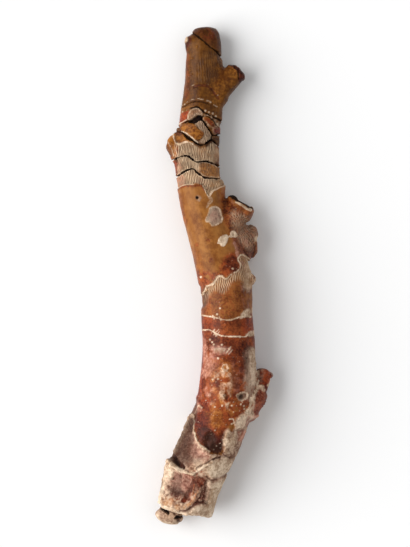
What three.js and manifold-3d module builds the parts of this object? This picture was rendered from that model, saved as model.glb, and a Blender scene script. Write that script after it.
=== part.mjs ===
// A picked branch of staghorn coral, about 174 mm long, lying on its side.
//
// Millimetres, +Z up. The branch runs along Y, with its thick broken foot at -Y and its tip at +Y.
// It rests on three worn flats: under the root end, under the upper stem and under the lower shoulder stub.
// The origin is at the bottom centre of the branch's box.

import * as THREE from 'three';
import { mergeVertices } from 'three/addons/utils/BufferGeometryUtils.js';
import Module from 'manifold-3d';

const wasm = await Module();
wasm.setup();

// ---------------------------------------------------------------- driving dimensions, in millimetres

const KERF = 0.3; // the gap between two neighbouring pieces
const STEM_SIDES = 26;
const STEM_ROWS = 75;
const STUB_SIDES = 16;
const STUB_ROWS = 8;
const STEM_LUMPS = 0.022; // how far the stem's girth swells and sinks, as a share of its radius
const STUB_LUMPS = 0.03;
const LONG = 200; // longer than the branch: the length of a cut that takes everything beyond a plane
const WIDE = 40; // half the width of such a cut

// Each station of a limb is its centre x, y, z, its half width and its half height.
const STEM = [
  [-10.9, -87.5, 8.8, 8.2, 7.6],
  [-10.0, -83.3, 9.0, 9.3, 8.8],
  [-9.3, -78.8, 9.3, 10.0, 9.5],
  [-7.9, -73.5, 9.5, 10.3, 9.9],
  [-6.1, -67.6, 9.8, 10.8, 10.3],
  [-3.6, -62.0, 10.1, 10.7, 10.6],
  [-0.3, -55.7, 10.4, 10.7, 10.6],
  [2.1, -50.0, 10.7, 10.4, 10.3],
  [4.3, -44.0, 10.8, 9.9, 9.8],
  [5.1, -36.8, 10.8, 9.6, 9.3],
  [5.2, -26.3, 10.7, 9.1, 8.8],
  [4.9, -14.0, 10.6, 8.9, 8.6],
  [4.5, -4.5, 10.3, 8.9, 8.6],
  [2.6, 4.5, 9.9, 8.7, 8.3],
  [-0.3, 13.0, 9.3, 7.9, 7.7],
  [-3.0, 22.0, 8.7, 7.5, 7.3],
  [-4.5, 30.5, 8.2, 7.5, 7.2],
  [-5.5, 37.5, 7.9, 7.8, 7.2],
  [-5.6, 43.8, 7.6, 7.8, 7.1],
  [-4.8, 51.5, 7.1, 7.3, 6.9],
  [-4.0, 58.5, 6.6, 7.0, 6.6],
  [-3.5, 66.5, 6.0, 6.4, 6.3],
  [-3.4, 75.3, 5.6, 6.2, 6.1],
  [-2.7, 81.5, 5.5, 5.6, 5.5],
  [-2.7, 84.7, 5.6, 4.8, 4.7],
  [-2.8, 86.8, 5.6, 3.3, 3.1],
];

const TIP_LEFT_LOBE = [
  [-5.0, 77.5, 6.0, 3.6, 4.2],
  [-6.6, 80.2, 6.2, 3.2, 3.8],
  [-7.5, 82.4, 6.3, 2.5, 3.1],
  [-8.0, 83.8, 6.4, 1.5, 1.9],
];

const UPPER_STUB = [
  [-2.6, 60.5, 6.6, 4.9, 5.2],
  [1.6, 64.4, 6.7, 4.7, 5.0],
  [5.2, 67.8, 6.8, 4.0, 4.3],
  [8.2, 70.3, 6.9, 3.4, 3.6],
  [9.2, 71.1, 6.9, 2.9, 3.1],
];

const LEFT_KNOB = [
  [-8.0, 40.8, 7.6, 5.4, 5.6],
  [-11.6, 43.8, 7.5, 4.8, 5.0],
  [-14.4, 45.8, 7.4, 3.7, 4.0],
  [-16.1, 46.8, 7.4, 2.3, 2.6],
];

const SHOULDER_UPPER_STUB = [
  [2.2, 10.5, 9.2, 5.6, 6.2],
  [5.0, 15.8, 9.0, 5.0, 5.6],
  [7.4, 20.4, 8.8, 4.5, 4.9],
  [9.6, 24.2, 8.7, 4.3, 4.5],
  [10.1, 25.2, 8.7, 3.9, 4.1],
];

const SHOULDER_LOWER_STUB = [
  [1.5, 9.0, 8.4, 6.2, 7.0],
  [6.5, 10.4, 7.2, 6.2, 6.9],
  [10.6, 11.4, 5.8, 5.8, 6.5],
  [13.8, 12.0, 5.4, 5.2, 5.4],
  [14.8, 12.2, 5.3, 4.6, 4.6],
];

const LOWER_STUB = [
  [8.6, -50.0, 9.6, 4.4, 5.2],
  [12.4, -45.0, 8.9, 4.1, 4.7],
  [15.5, -40.6, 8.2, 3.5, 3.9],
  [17.5, -36.8, 7.7, 2.7, 3.0],
  [18.3, -34.6, 7.5, 2.0, 2.3],
];

const FOOT_LOBE = [
  [-19.3, -82.9, 6.6, 1.2, 1.6],
  [-18.3, -83.2, 6.6, 2.3, 3.0],
  [-15.6, -84.1, 6.5, 2.9, 3.7],
  [-12.6, -85.1, 6.4, 2.2, 2.9],
  [-11.2, -85.6, 6.4, 1.1, 1.5],
];

const ROOT_KNOB = [
  [-13.0, -65.6, 11.5, 2.4, 3.2],
  [-14.6, -66.7, 11.8, 2.9, 3.4],
  [-15.9, -67.5, 12.0, 1.8, 2.2],
];

const SIDE_NUB = [
  [11.4, -1.0, 10.5, 1.9, 2.6],
  [13.2, -1.6, 10.4, 1.7, 2.3],
  [14.3, -1.9, 10.3, 0.9, 1.2],
];

// Hollows worn into the root end: centre, how far each reaches and how deep it is.
const ROOT_HOLLOWS = [
  { at: [-8.5, -58.0, 20.0], reach: 6.0, depth: 1.8 },
  { at: [-11.5, -74.0, 18.5], reach: 5.0, depth: 1.5 },
  { at: [-12.5, -62.5, 6.0], reach: 4.5, depth: 1.0 },
];

// The plane where the branch broke from its colony.
const FOOT_BREAK = { at: [-10.0, -82.7, 9], out: [-0.22, -0.975, 0] };

// The cuts, in the order in which the pieces come off. A cut takes what lies beyond the upright plane through
// at, on the side that out points to, up to reach to each side and up to length away.
const CUTS = [
  { name: 'upper_stub', at: [4.2, 67.2, 6.5], out: [0.9, 0.43, 0], reach: 7, length: 12 },
  { name: 'tip_left_lobe', at: [-8.0, 81.7, 6], out: [-0.92, 0.39, 0], reach: 4.5, length: 6 },
  { name: 'tip_right_lobe', at: [-2.3, 80.7, 6], out: [0.72, 0.69, 0], reach: 16, length: 20 },
  { name: 'upper_stem', at: [-3.8, 59.2, 6.5], out: [0, 1, 0], reach: WIDE, length: LONG },
  { name: 'left_knob', at: [-13.0, 44.6, 7.5], out: [-0.96, 0.28, 0], reach: 7, length: 10 },
  { name: 'cracked_neck', at: [-4.4, 29.7, 8.2], out: [-0.14, 0.99, 0], reach: WIDE, length: LONG },
  { name: 'shoulder_lower_stub', at: [10.4, 9.9, 7], out: [0.94, 0.34, 0], reach: 6.25, length: 10 },
  { name: 'shoulder_upper_stub', at: [6.2, 21.5, 9], out: [0.94, 0.34, 0], reach: 6.0, length: 10 },
  { name: 'middle_stem', at: [2.9, 2.6, 10], out: [-0.22, 0.975, 0], reach: WIDE, length: LONG },
  { name: 'lower_stub', at: [14.0, -43.0, 9], out: [0.99, -0.1, 0], reach: 10, length: 12 },
  { name: 'lower_stem', at: [1.2, -51.2, 10], out: [0.37, 0.93, 0], reach: WIDE, length: LONG },
  { name: 'foot_lobe', ...FOOT_BREAK, reach: WIDE, length: WIDE },
];
const REST_OF_THE_BRANCH = 'root_end';

const FINISHES = {
  root_end: { color: 0xc9a88c, roughness: 0.75 },
  foot_lobe: { color: 0xb9a182, roughness: 0.8 },
  lower_stub: { color: 0x9c4a2c, roughness: 0.5 },
  lower_stem: { color: 0xa05a3c, roughness: 0.5 },
  shoulder_lower_stub: { color: 0x94603f, roughness: 0.55 },
  shoulder_upper_stub: { color: 0x94603f, roughness: 0.55 },
  middle_stem: { color: 0xa8672f, roughness: 0.4 },
  cracked_neck: { color: 0xb08a5a, roughness: 0.6 },
  left_knob: { color: 0xb9742c, roughness: 0.4 },
  upper_stem: { color: 0x8a5a2a, roughness: 0.35 },
  upper_stub: { color: 0x84542a, roughness: 0.35 },
  tip_left_lobe: { color: 0x8a4f2a, roughness: 0.4 },
  tip_right_lobe: { color: 0x6b3d22, roughness: 0.35 },
};

// ---------------------------------------------------------------- solids

const UP = new THREE.Vector3(0, 0, 1);

/** A three.js geometry as a manifold solid. */
function solid(geometry) {
  geometry.deleteAttribute('normal');
  geometry.deleteAttribute('uv');
  const merged = mergeVertices(geometry, 1e-4);
  return new wasm.Manifold(new wasm.Mesh({
    numProp: 3,
    vertProperties: new Float32Array(merged.attributes.position.array),
    triVerts: new Uint32Array(merged.index.array),
  }));
}

/** How much wider than its station the limb is at this turn round it and this place along it. */
function lump(turn, y, share) {
  return 1 + share * (0.6 * Math.sin(3 * turn + y / 5.5) + 0.4 * Math.sin(5 * turn - y / 3.1));
}

/** One limb: a closed tube along a smooth curve through its stations, with flat ends. */
function limb(stations, { sides = STUB_SIDES, rows = STUB_ROWS, lumps = STUB_LUMPS, hollows = [] } = {}) {
  const route = new THREE.CatmullRomCurve3(stations.map(([x, y, z]) => new THREE.Vector3(x, y, z)));
  const girth = new THREE.CatmullRomCurve3(stations.map(([, , , w, h]) => new THREE.Vector3(w, h, 0)));
  const tube = new THREE.CylinderGeometry(1, 1, 1, sides, rows);
  const spots = tube.attributes.position;
  for (let i = 0; i < spots.count; i += 1) {
    const along = THREE.MathUtils.clamp(spots.getY(i) + 0.5, 0, 1);
    const centre = route.getPoint(along);
    const half = girth.getPoint(along);
    const ahead = route.getTangent(along);
    const side = new THREE.Vector3().crossVectors(ahead, UP).normalize();
    const top = new THREE.Vector3().crossVectors(side, ahead);
    const turn = Math.atan2(spots.getZ(i), spots.getX(i));
    const swell = lump(turn, centre.y, lumps);
    const outward = new THREE.Vector3()
      .addScaledVector(side, half.x * swell * spots.getX(i))
      .addScaledVector(top, half.y * swell * spots.getZ(i));
    const spot = centre.clone().add(outward);
    const reach = outward.length();
    for (const { at, reach: width, depth } of hollows) {
      const away = spot.distanceTo(new THREE.Vector3(...at));
      if (reach > depth) spot.addScaledVector(outward, (-depth / reach) * Math.exp(-((away / width) ** 2)));
    }
    spots.setXYZ(i, spot.x, spot.y, spot.z);
  }
  return solid(tube);
}

/** A tall block that starts at an upright plane and reaches out from it. */
function block(at, out, reach, length, start = 0) {
  const ahead = new THREE.Vector3(...out).normalize();
  const side = new THREE.Vector3().crossVectors(ahead, UP);
  const box = new THREE.BoxGeometry(2 * reach, length, 2 * WIDE);
  box.translate(0, start + length / 2, 0);
  box.applyMatrix4(new THREE.Matrix4().makeBasis(side, ahead, UP));
  box.translate(...at);
  return solid(box);
}

/** The whole branch as grown, with the worn flats that it rests on. */
function branch() {
  const stem = limb(STEM, { sides: STEM_SIDES, rows: STEM_ROWS, lumps: STEM_LUMPS, hollows: ROOT_HOLLOWS });
  const limbs = [
    stem.subtract(block(FOOT_BREAK.at, FOOT_BREAK.out, WIDE, WIDE)),
    ...[
      TIP_LEFT_LOBE,
      UPPER_STUB,
      LEFT_KNOB,
      SHOULDER_UPPER_STUB,
      SHOULDER_LOWER_STUB,
      LOWER_STUB,
      FOOT_LOBE,
      ROOT_KNOB,
      SIDE_NUB,
    ].map((stations) => limb(stations)),
  ];
  const grown = limbs.reduce((sum, next) => sum.add(next));
  const aboveGround = new THREE.BoxGeometry(LONG, LONG, WIDE).translate(0, 0, WIDE / 2);
  return grown.intersect(solid(aboveGround));
}

/** A named mesh of one piece. */
function piece(name, body) {
  const { vertProperties, triVerts } = body.getMesh();
  const geometry = new THREE.BufferGeometry();
  geometry.setAttribute('position', new THREE.BufferAttribute(new Float32Array(vertProperties), 3));
  geometry.setIndex(new THREE.BufferAttribute(new Uint32Array(triVerts), 1));
  geometry.computeVertexNormals();
  const mesh = new THREE.Mesh(geometry, new THREE.MeshStandardMaterial({ metalness: 0, ...FINISHES[name] }));
  mesh.name = name;
  return mesh;
}

// ---------------------------------------------------------------- the branch, cut at its forks

const coral = new THREE.Group();
let left = branch();
for (const { name, at, out, reach, length } of CUTS) {
  coral.add(piece(name, left.intersect(block(at, out, reach - KERF / 2, length, KERF / 2))));
  left = left.subtract(block(at, out, reach + KERF / 2, length, -KERF / 2));
}
coral.add(piece(REST_OF_THE_BRANCH, left));

// The origin goes to the bottom centre of the box.
const box = new THREE.Box3().setFromObject(coral);
const centre = box.getCenter(new THREE.Vector3());
coral.position.set(-centre.x, -centre.y, -box.min.z);

export default coral;
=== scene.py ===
"""The finish of one loose branch of staghorn coral, lying on a white table.

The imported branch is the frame. Its pieces are copied and fused into one blank, the blank is carved and its
finishes are laid on in millimetres, and the carved skin is then cut again at the forks, into one piece for
each piece of the frame.
"""

import logging
import math
from collections.abc import Iterator
from dataclasses import dataclass
from enum import Enum
from functools import lru_cache

import bmesh
import bpy
import numpy as np
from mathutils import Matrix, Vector


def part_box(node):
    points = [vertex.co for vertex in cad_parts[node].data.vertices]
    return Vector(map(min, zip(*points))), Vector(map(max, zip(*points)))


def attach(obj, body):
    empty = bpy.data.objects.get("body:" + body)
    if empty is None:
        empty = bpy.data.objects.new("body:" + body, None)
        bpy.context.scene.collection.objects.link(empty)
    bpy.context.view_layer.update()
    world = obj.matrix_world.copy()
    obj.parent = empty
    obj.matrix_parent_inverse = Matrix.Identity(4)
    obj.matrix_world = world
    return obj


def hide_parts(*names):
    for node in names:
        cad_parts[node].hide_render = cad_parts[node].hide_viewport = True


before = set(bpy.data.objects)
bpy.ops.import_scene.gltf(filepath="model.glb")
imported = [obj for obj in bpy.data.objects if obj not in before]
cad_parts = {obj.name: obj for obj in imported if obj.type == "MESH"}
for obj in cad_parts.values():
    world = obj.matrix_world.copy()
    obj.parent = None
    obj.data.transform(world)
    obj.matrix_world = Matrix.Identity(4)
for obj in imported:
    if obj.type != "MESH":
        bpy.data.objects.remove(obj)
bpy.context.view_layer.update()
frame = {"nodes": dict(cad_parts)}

log = logging.getLogger("coral")

MM = 0.001
BODY = "root"
CURVE_STEPS = 4
SHORTEST_LINE = 1e-9

Route = tuple[tuple[float, float], ...]


class Finish(Enum):
    """The finishes that are laid on the skin. Each value names the mesh attribute that holds its amount."""

    TIP = "tip_brown"
    RIBBED = "ribbed_tan"
    RED = "red_brown"
    AMBER = "amber"
    CRUST = "pale_crust"
    GOLD = "gold"
    BLUSH = "blush"
    WINE = "wine"
    PLUM = "plum"
    ASH = "ash"
    CREAM = "cream"
    SHADE = "shade"


TIP, RIBBED, RED, AMBER, CRUST, GOLD, BLUSH, WINE, PLUM, ASH, CREAM, SHADE = Finish


class Side(Enum):
    """Which side of the branch a mark is on."""

    TOP = "top"
    ROUND = "all round"


def smooth_step(low: float, high: float, value: np.ndarray) -> np.ndarray:
    """Returns 0 below low, 1 above high and a smooth ramp between them. High may be below low."""
    share = np.clip((value - low) / (high - low), 0.0, 1.0)
    return share * share * (3.0 - 2.0 * share)


@lru_cache(maxsize=None)
def middle_of(node: str) -> np.ndarray:
    """Returns the middle of a frame piece's box, in millimetres."""
    low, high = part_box(node)
    return np.array((low + high) / 2) / MM


def curved(route: np.ndarray, closed: bool) -> np.ndarray:
    """Draws a smooth curve through the points of a route, in a few short lines between two points.

    Args:
        route: The points, one a row.
        closed: Whether the last point joins the first.

    Returns:
        The points of the curve, one a row.
    """
    count = len(route)
    spans = count if closed else count - 1
    drawn = []
    for i in range(spans):
        if closed:
            before, start, end, after = (route[(i + k) % count] for k in (-1, 0, 1, 2))
        else:
            before, start, end, after = (route[min(max(i + k, 0), count - 1)] for k in (-1, 0, 1, 2))
        for k in range(CURVE_STEPS):
            t = k / CURVE_STEPS
            linear = (end - before) * t
            square = (2 * before - 5 * start + 4 * end - after) * t**2
            cubic = (3 * start - before - 3 * end + after) * t**3
            drawn.append(0.5 * (2 * start + linear + square + cubic))
    if not closed:
        drawn.append(route[-1])
    return np.array(drawn)


@dataclass(frozen=True)
class Pattern:
    """One pattern of grain: the width of a grain, in millimetres, and which of the like patterns it is."""

    size: float
    shift: int


class Grain:
    """Seeded random grain in space: the same place always gives the same value."""

    VALUES = 4096
    PRIMES = (73856093, 19349663, 83492791)
    SHIFT = 31.7
    LAYERS = 3
    LAYERED_PEAK = 1.5

    def __init__(self, seed: int) -> None:
        """Draws the table of values that every lattice point looks up."""
        self.values = np.random.default_rng(seed).uniform(-1.0, 1.0, self.VALUES)

    def at(self, spots: np.ndarray, pattern: Pattern) -> np.ndarray:
        """Works out smooth grain.

        Args:
            spots: Points, one a row, in millimetres.
            pattern: The pattern of the grain.

        Returns:
            The grain at each point, from -1 to 1.
        """
        scaled = spots / pattern.size + self.SHIFT * pattern.shift
        cell = np.floor(scaled).astype(np.int64)
        part = scaled - cell
        blend = part * part * part * (part * (part * 6.0 - 15.0) + 10.0)
        total = np.zeros(len(spots))
        for corner in range(8):
            step = np.array([corner & 1, corner >> 1 & 1, corner >> 2 & 1])
            x, y, z = ((cell + step) * self.PRIMES).T
            value = self.values[(x ^ y ^ z) & (self.VALUES - 1)]
            weight = np.prod(np.where(step == 1, blend, 1.0 - blend), axis=1)
            total += value * weight
        return total

    def layered(self, spots: np.ndarray, pattern: Pattern) -> np.ndarray:
        """Returns grain with finer and fainter grain on top, from about -1 to 1."""
        finer = [Pattern(pattern.size / 2**k, pattern.shift + k) for k in range(self.LAYERS)]
        return sum(self.at(spots, one) / 2**k for k, one in enumerate(finer)) / self.LAYERED_PEAK


class Spine:
    """The line through the middle of the stem, measured from the frame's stem pieces."""

    STEM = ("root_end", "lower_stem", "middle_stem", "cracked_neck", "upper_stem", "tip_right_lobe")
    STEP = 2.0
    REACH = 1.6
    SMOOTHING = 7

    def __init__(self, nodes: dict[str, bpy.types.Object]) -> None:
        """Takes the middle of the stem's outline every few millimetres along it.

        Args:
            nodes: The frame's pieces by name.
        """
        spots = np.concatenate([vertices_of(nodes[name].data) for name in self.STEM]) / MM
        self.along = np.arange(spots[:, 1].min() + self.STEP, spots[:, 1].max() - self.STEP, self.STEP)
        middles = []
        for y in self.along:
            near = spots[np.abs(spots[:, 1] - y) < self.REACH]
            middles.append((near.min(axis=0) + near.max(axis=0))[[0, 2]] / 2)
        width = self.SMOOTHING
        padded = np.pad(np.array(middles), ((width // 2, width // 2), (0, 0)), mode="edge")
        kernel = np.ones(width) / width
        self.middle = np.stack([np.convolve(padded[:, k], kernel, mode="valid") for k in (0, 1)], axis=1)

    def straight(self, spots: np.ndarray) -> np.ndarray:
        """Straightens the stem.

        Args:
            spots: Points, one a row, in millimetres.

        Returns:
            The same points as if the stem were straight, with its middle on the Y axis.
        """
        moved = spots.copy()
        for column, axis in ((0, 0), (1, 2)):
            moved[:, axis] -= np.interp(spots[:, 1], self.along, self.middle[:, column])
        return moved


def vertices_of(mesh: bpy.types.Mesh) -> np.ndarray:
    """Reads a mesh.

    Args:
        mesh: The mesh.

    Returns:
        Its vertices, one a row, in metres.
    """
    flat = np.zeros(len(mesh.vertices) * 3, np.float32)
    mesh.vertices.foreach_get("co", flat)
    return flat.reshape(-1, 3).astype(float)


def line_distance(plan: np.ndarray, line: np.ndarray, closed: bool) -> tuple[np.ndarray, np.ndarray]:
    """Measures points against a drawn line, seen from above.

    Args:
        plan: The points' x and y, one point a row.
        line: The line's points, one a row.
        closed: Whether the line closes on itself.

    Returns:
        How far each point is from the line, and how far along the line it is, from 0 to 1.
    """
    nearest = np.full(len(plan), np.inf)
    place = np.zeros(len(plan))
    ends = np.roll(line, -1, axis=0) if closed else line[1:]
    starts = line if closed else line[:-1]
    lengths = np.linalg.norm(ends - starts, axis=1)
    travelled = np.concatenate([[0.0], np.cumsum(lengths)])
    for start, end, length, before in zip(starts, ends, lengths, travelled):
        if length < SHORTEST_LINE:
            continue
        ahead = (end - start) / length
        t = np.clip((plan - start) @ ahead, 0.0, length)
        away = np.linalg.norm(plan - start - t[:, None] * ahead, axis=1)
        closer = away < nearest
        nearest[closer] = away[closer]
        place[closer] = (before + t[closer]) / travelled[-1]
    return nearest, place


def within(plan: np.ndarray, outline: np.ndarray) -> np.ndarray:
    """Tells the points inside a closed outline from the others, seen from above.

    Args:
        plan: The points' x and y, one point a row.
        outline: The outline's points, one a row.

    Returns:
        Whether each point lies inside.
    """
    inside = np.zeros(len(plan), bool)
    x, y = plan.T
    for (x0, y0), (x1, y1) in zip(outline, np.roll(outline, -1, axis=0)):
        if y0 == y1:
            continue
        crosses = (y0 > y) != (y1 > y)
        inside ^= crosses & (x < x0 + (y - y0) * (x1 - x0) / (y1 - y0))
    return inside


@dataclass(frozen=True)
class Stroke:
    """A line on the skin, such as a crack, a ridge or a pale thread. Sizes are in millimetres.

    A press above zero carves in, and one below zero raises. The same goes for the other marks.
    """

    finish: Finish
    strength: float
    half: float
    route: Route
    press: float = 0.0
    soft: float = 0.15
    ragged: float = 0.12
    side: Side = Side.TOP
    taper: float = 0.0
    rim: float = 0.0
    dashes: float = 0.0


@dataclass(frozen=True)
class Patch:
    """An area of the skin with its own finish or level. Sizes are in millimetres."""

    finish: Finish | None
    strength: float
    soft: float
    route: Route
    press: float = 0.0
    ragged: float = 0.3
    side: Side = Side.TOP
    lip: float = 0.0
    rim: float = 0.0
    mottle: float = 0.0


@dataclass(frozen=True)
class Dots:
    """Small round marks, each at one point of the route. Sizes are in millimetres."""

    finish: Finish
    strength: float
    radius: float
    route: Route
    press: float = 0.0


@dataclass(frozen=True)
class Ribs:
    """Fine ribs along the stem inside an outline. Sizes are in millimetres."""

    strength: float
    soft: float
    height: float
    route: Route
    pitch: float = 0.58
    slant: float = 0.0
    side: Side = Side.TOP
    cross: bool = False


Mark = Stroke | Patch | Dots | Ribs


def swelling(press: float, soft: float, route: Route, ragged: float = 0.1) -> Patch:
    """Returns a bare area that changes the outline, all round the branch."""
    return Patch(None, 1.0, soft, route, press=press, ragged=ragged, side=Side.ROUND)


def crack(half: float, route: Route, press: float = 0.95, rim: float = 0.0, soft: float = 0.15) -> Stroke:
    """Returns a deep dark crack that runs all round the branch."""
    return Stroke(SHADE, 1.0, half, route, press=press, soft=soft, ragged=0.3, side=Side.ROUND, rim=rim)


def crease(
    finish: Finish, strength: float, half: float, press: float, route: Route, soft: float = 0.4, **more: float
) -> Stroke:
    """Returns a ragged, soft-edged crease or ridge of the crust, with more of a stroke's values if given."""
    return Stroke(finish, strength, half, route, press=press, soft=soft, ragged=0.4, **more)


class Skin:
    """The carved surface of the whole branch, as arrays with one row for each vertex, in millimetres."""

    MARGIN = 2.5
    UNDER = (0.0, -0.6)
    UNDER_SWAY = 1.6
    UNDER_SWAYS = (Pattern(5.0, 11), Pattern(5.0, 12))
    TOP = (-0.35, 0.0)
    FRAY = Pattern(1.1, 21)
    ZONES = (None, TIP, RIBBED, CRUST)

    STROKE_UNEVEN = 0.6
    STROKE_WIDTHS = Pattern(1.7, 4)
    DASH_SHIFT = 5
    DASHED = (-0.1, 0.3)
    RIM_START = (0.05, 0.2)
    RIM_END = (0.65, 0.3)
    RIM_BREAKS = Pattern(2.2, 6)
    RIM_BROKEN = (-0.5, 0.3)
    RIM_RISE = 0.12

    LIP_WIDTH = 1.2
    CLOUDS = Pattern(1.7, 9)
    CLOUD_SOFT = 0.3
    PATCH_RIM = (0.45, 0.1)
    DOT_FRAY = 0.3
    DOT_EDGE = (1.25, 0.65)

    RIB_FRAY = 0.4
    RIB_SWAY = 0.6
    RIB_SWAYS = Pattern(2.6, 14)
    RIB_RIPPLE = 0.25
    RIB_RIPPLES = Pattern(0.9, 15)
    RIB_SHARP = 1.25
    CROSS_SHARP = 1.5
    RIB_THIN = 0.75
    RIB_UNEVEN = 0.35
    RIB_STRENGTHS = Pattern(1.5, 16)

    SWELL = 0.16
    SWELLS = Pattern(6.5, 31)
    WAVE = 0.05
    WAVES = Pattern(1.9, 41)
    CRUST_ROUGH = 0.12
    CRUST_GRAINS = Pattern(1.6, 51)
    CRUST_LUMP = 2.4
    CRUST_LUMPS = Pattern(4.2, 61)

    def __init__(self, mesh: bpy.types.Mesh, spine: Spine, grain: Grain) -> None:
        """Reads the surface that the marks are laid on.

        Args:
            mesh: The blank's mesh.
            spine: The line that the ribs follow.
            grain: The random grain of the ragged edges and the bumps.
        """
        self.mesh = mesh
        self.grain = grain
        self.spots = vertices_of(mesh) / MM
        self.out = np.zeros(self.spots.size, np.float32)
        mesh.vertex_normals.foreach_get("vector", self.out)
        self.out = self.out.reshape(-1, 3).astype(float)
        self.straight = spine.straight(self.spots)
        self.depth = np.zeros(len(self.spots))
        self.amount = {finish: np.zeros(len(self.spots)) for finish in Finish}
        self.rib = np.zeros(len(self.spots))
        under = smooth_step(*self.UNDER, self.out[:, 2])
        sway = np.stack([grain.at(self.spots, pattern) for pattern in self.UNDER_SWAYS], axis=1)
        self.plan = self.spots[:, :2] + self.UNDER_SWAY * under[:, None] * sway
        self.top = smooth_step(*self.TOP, self.out[:, 2])
        self.fray = grain.layered(self.spots, self.FRAY)

    def near(self, line: np.ndarray) -> np.ndarray:
        """Returns the numbers of the points near a drawn line or inside its box."""
        low, high = line.min(axis=0) - self.MARGIN, line.max(axis=0) + self.MARGIN
        return np.flatnonzero(np.all((self.plan > low) & (self.plan < high), axis=1))

    def lay(self, finish: Finish, who: np.ndarray, share: np.ndarray) -> None:
        """Adds to a finish where it is thinner than the share given."""
        self.amount[finish][who] = np.maximum(self.amount[finish][who], share)

    def clear(self, who: np.ndarray, share: np.ndarray) -> None:
        """Thins every finish and the ribs under a new zone."""
        for amount in (*self.amount.values(), self.rib):
            amount[who] *= 1.0 - share

    def on_side(self, side: Side, who: np.ndarray) -> np.ndarray:
        """Returns how much of a mark on that side shows at each point."""
        return self.top[who] if side is Side.TOP else np.ones(len(who))

    def inward(self, who: np.ndarray, line: np.ndarray, ragged: float) -> np.ndarray:
        """Returns how far points are inside a closed line with a ragged edge, below zero outside it."""
        away, _ = line_distance(self.plan[who], line, closed=True)
        return np.where(within(self.plan[who], line), away, -away) + ragged * self.fray[who]

    def stroke(self, mark: Stroke, route: np.ndarray) -> None:
        """Carves and colours one line.

        Args:
            mark: The mark.
            route: Its points on the branch, one a row, in millimetres.
        """
        line = curved(route, closed=False)
        who = self.near(line)
        spots = self.spots[who]
        away, place = line_distance(self.plan[who], line, closed=False)
        away = away + mark.ragged * self.fray[who]
        half = mark.half * (1.0 - mark.taper * np.abs(2.0 * place - 1.0) ** 2)
        half = half * (1.0 + self.STROKE_UNEVEN * self.grain.at(spots, self.STROKE_WIDTHS))
        shown = self.on_side(mark.side, who)
        if mark.dashes:
            dashes = self.grain.at(spots, Pattern(mark.dashes, self.DASH_SHIFT))
            shown = shown * smooth_step(*self.DASHED, dashes)
        share = smooth_step(1.0, 0.0, (away - half) / mark.soft) * shown
        self.depth[who] += mark.press * share
        self.lay(mark.finish, who, mark.strength * share)
        if mark.rim:
            start, full = (half + width for width in self.RIM_START)
            end, fading = (half + width for width in self.RIM_END)
            beside = smooth_step(start, full, away) * smooth_step(end, fading, away)
            broken = smooth_step(*self.RIM_BROKEN, self.grain.at(spots, self.RIM_BREAKS))
            self.lay(CREAM, who, mark.rim * beside * shown * broken)
            self.depth[who] -= self.RIM_RISE * beside * shown

    def patch(self, mark: Patch, route: np.ndarray) -> None:
        """Presses and colours one area.

        Args:
            mark: The mark.
            route: Its points on the branch, one a row, in millimetres.
        """
        line = curved(route, closed=True)
        who = self.near(line)
        deep = self.inward(who, line, mark.ragged)
        shown = self.on_side(mark.side, who)
        share = smooth_step(-mark.soft, mark.soft, deep) * shown
        self.depth[who] += mark.press * share
        if mark.lip:
            self.depth[who] -= mark.lip * share * np.exp(-np.maximum(deep, 0.0) / self.LIP_WIDTH)
        if mark.finish in self.ZONES:
            self.clear(who, share)
        if mark.mottle:
            clouds = self.grain.layered(self.spots[who], self.CLOUDS)
            low, high = mark.mottle - self.CLOUD_SOFT, mark.mottle + self.CLOUD_SOFT
            share = share * smooth_step(low, high, clouds)
        if mark.finish:
            self.lay(mark.finish, who, mark.strength * share)
        if mark.rim:
            edge = smooth_step(*self.PATCH_RIM, np.abs(deep)) * shown
            self.lay(CREAM, who, mark.rim * edge)
            self.depth[who] -= self.RIM_RISE * edge

    def dots(self, mark: Dots, route: np.ndarray) -> None:
        """Presses and colours a few small round marks.

        Args:
            mark: The mark.
            route: Its points on the branch, one a row, in millimetres.
        """
        for place in route:
            who = self.near(place[None, :])
            away = np.linalg.norm(self.plan[who] - place, axis=1)
            away = away + self.DOT_FRAY * mark.radius * self.fray[who]
            share = smooth_step(*self.DOT_EDGE, away / mark.radius) * self.top[who]
            self.depth[who] += mark.press * share
            self.lay(mark.finish, who, mark.strength * share)

    def ribs(self, mark: Ribs, route: np.ndarray) -> None:
        """Raises fine ribs along the stem.

        Args:
            mark: The mark.
            route: Its points on the branch, one a row, in millimetres.
        """
        line = curved(route, closed=True)
        who = self.near(line)
        spots = self.spots[who]
        deep = self.inward(who, line, self.RIB_FRAY)
        shown = smooth_step(-mark.soft, mark.soft, deep) * self.on_side(mark.side, who)
        x, y, z = self.straight[who].T
        turn = np.arctan2(z, x)
        count = round(2 * math.pi * np.median(np.hypot(x, z)) / mark.pitch)
        sway = self.RIB_SWAY * self.grain.at(spots, self.RIB_SWAYS)
        sway = sway + self.RIB_RIPPLE * self.grain.at(spots, self.RIB_RIPPLES)
        lean = 2 * math.pi * (sway + mark.slant * y)
        wave = (0.5 + 0.5 * np.cos(count * turn + lean)) ** self.RIB_SHARP
        if mark.cross:
            wave = np.maximum(wave, (0.5 + 0.5 * np.cos(count * turn - lean)) ** self.CROSS_SHARP)
        thin = self.RIB_THIN + self.RIB_UNEVEN * self.grain.at(spots, self.RIB_STRENGTHS)
        self.rib[who] = np.maximum(self.rib[who], mark.strength * shown * thin * wave)
        self.depth[who] -= mark.height * shown * (wave - 0.5)

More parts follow.
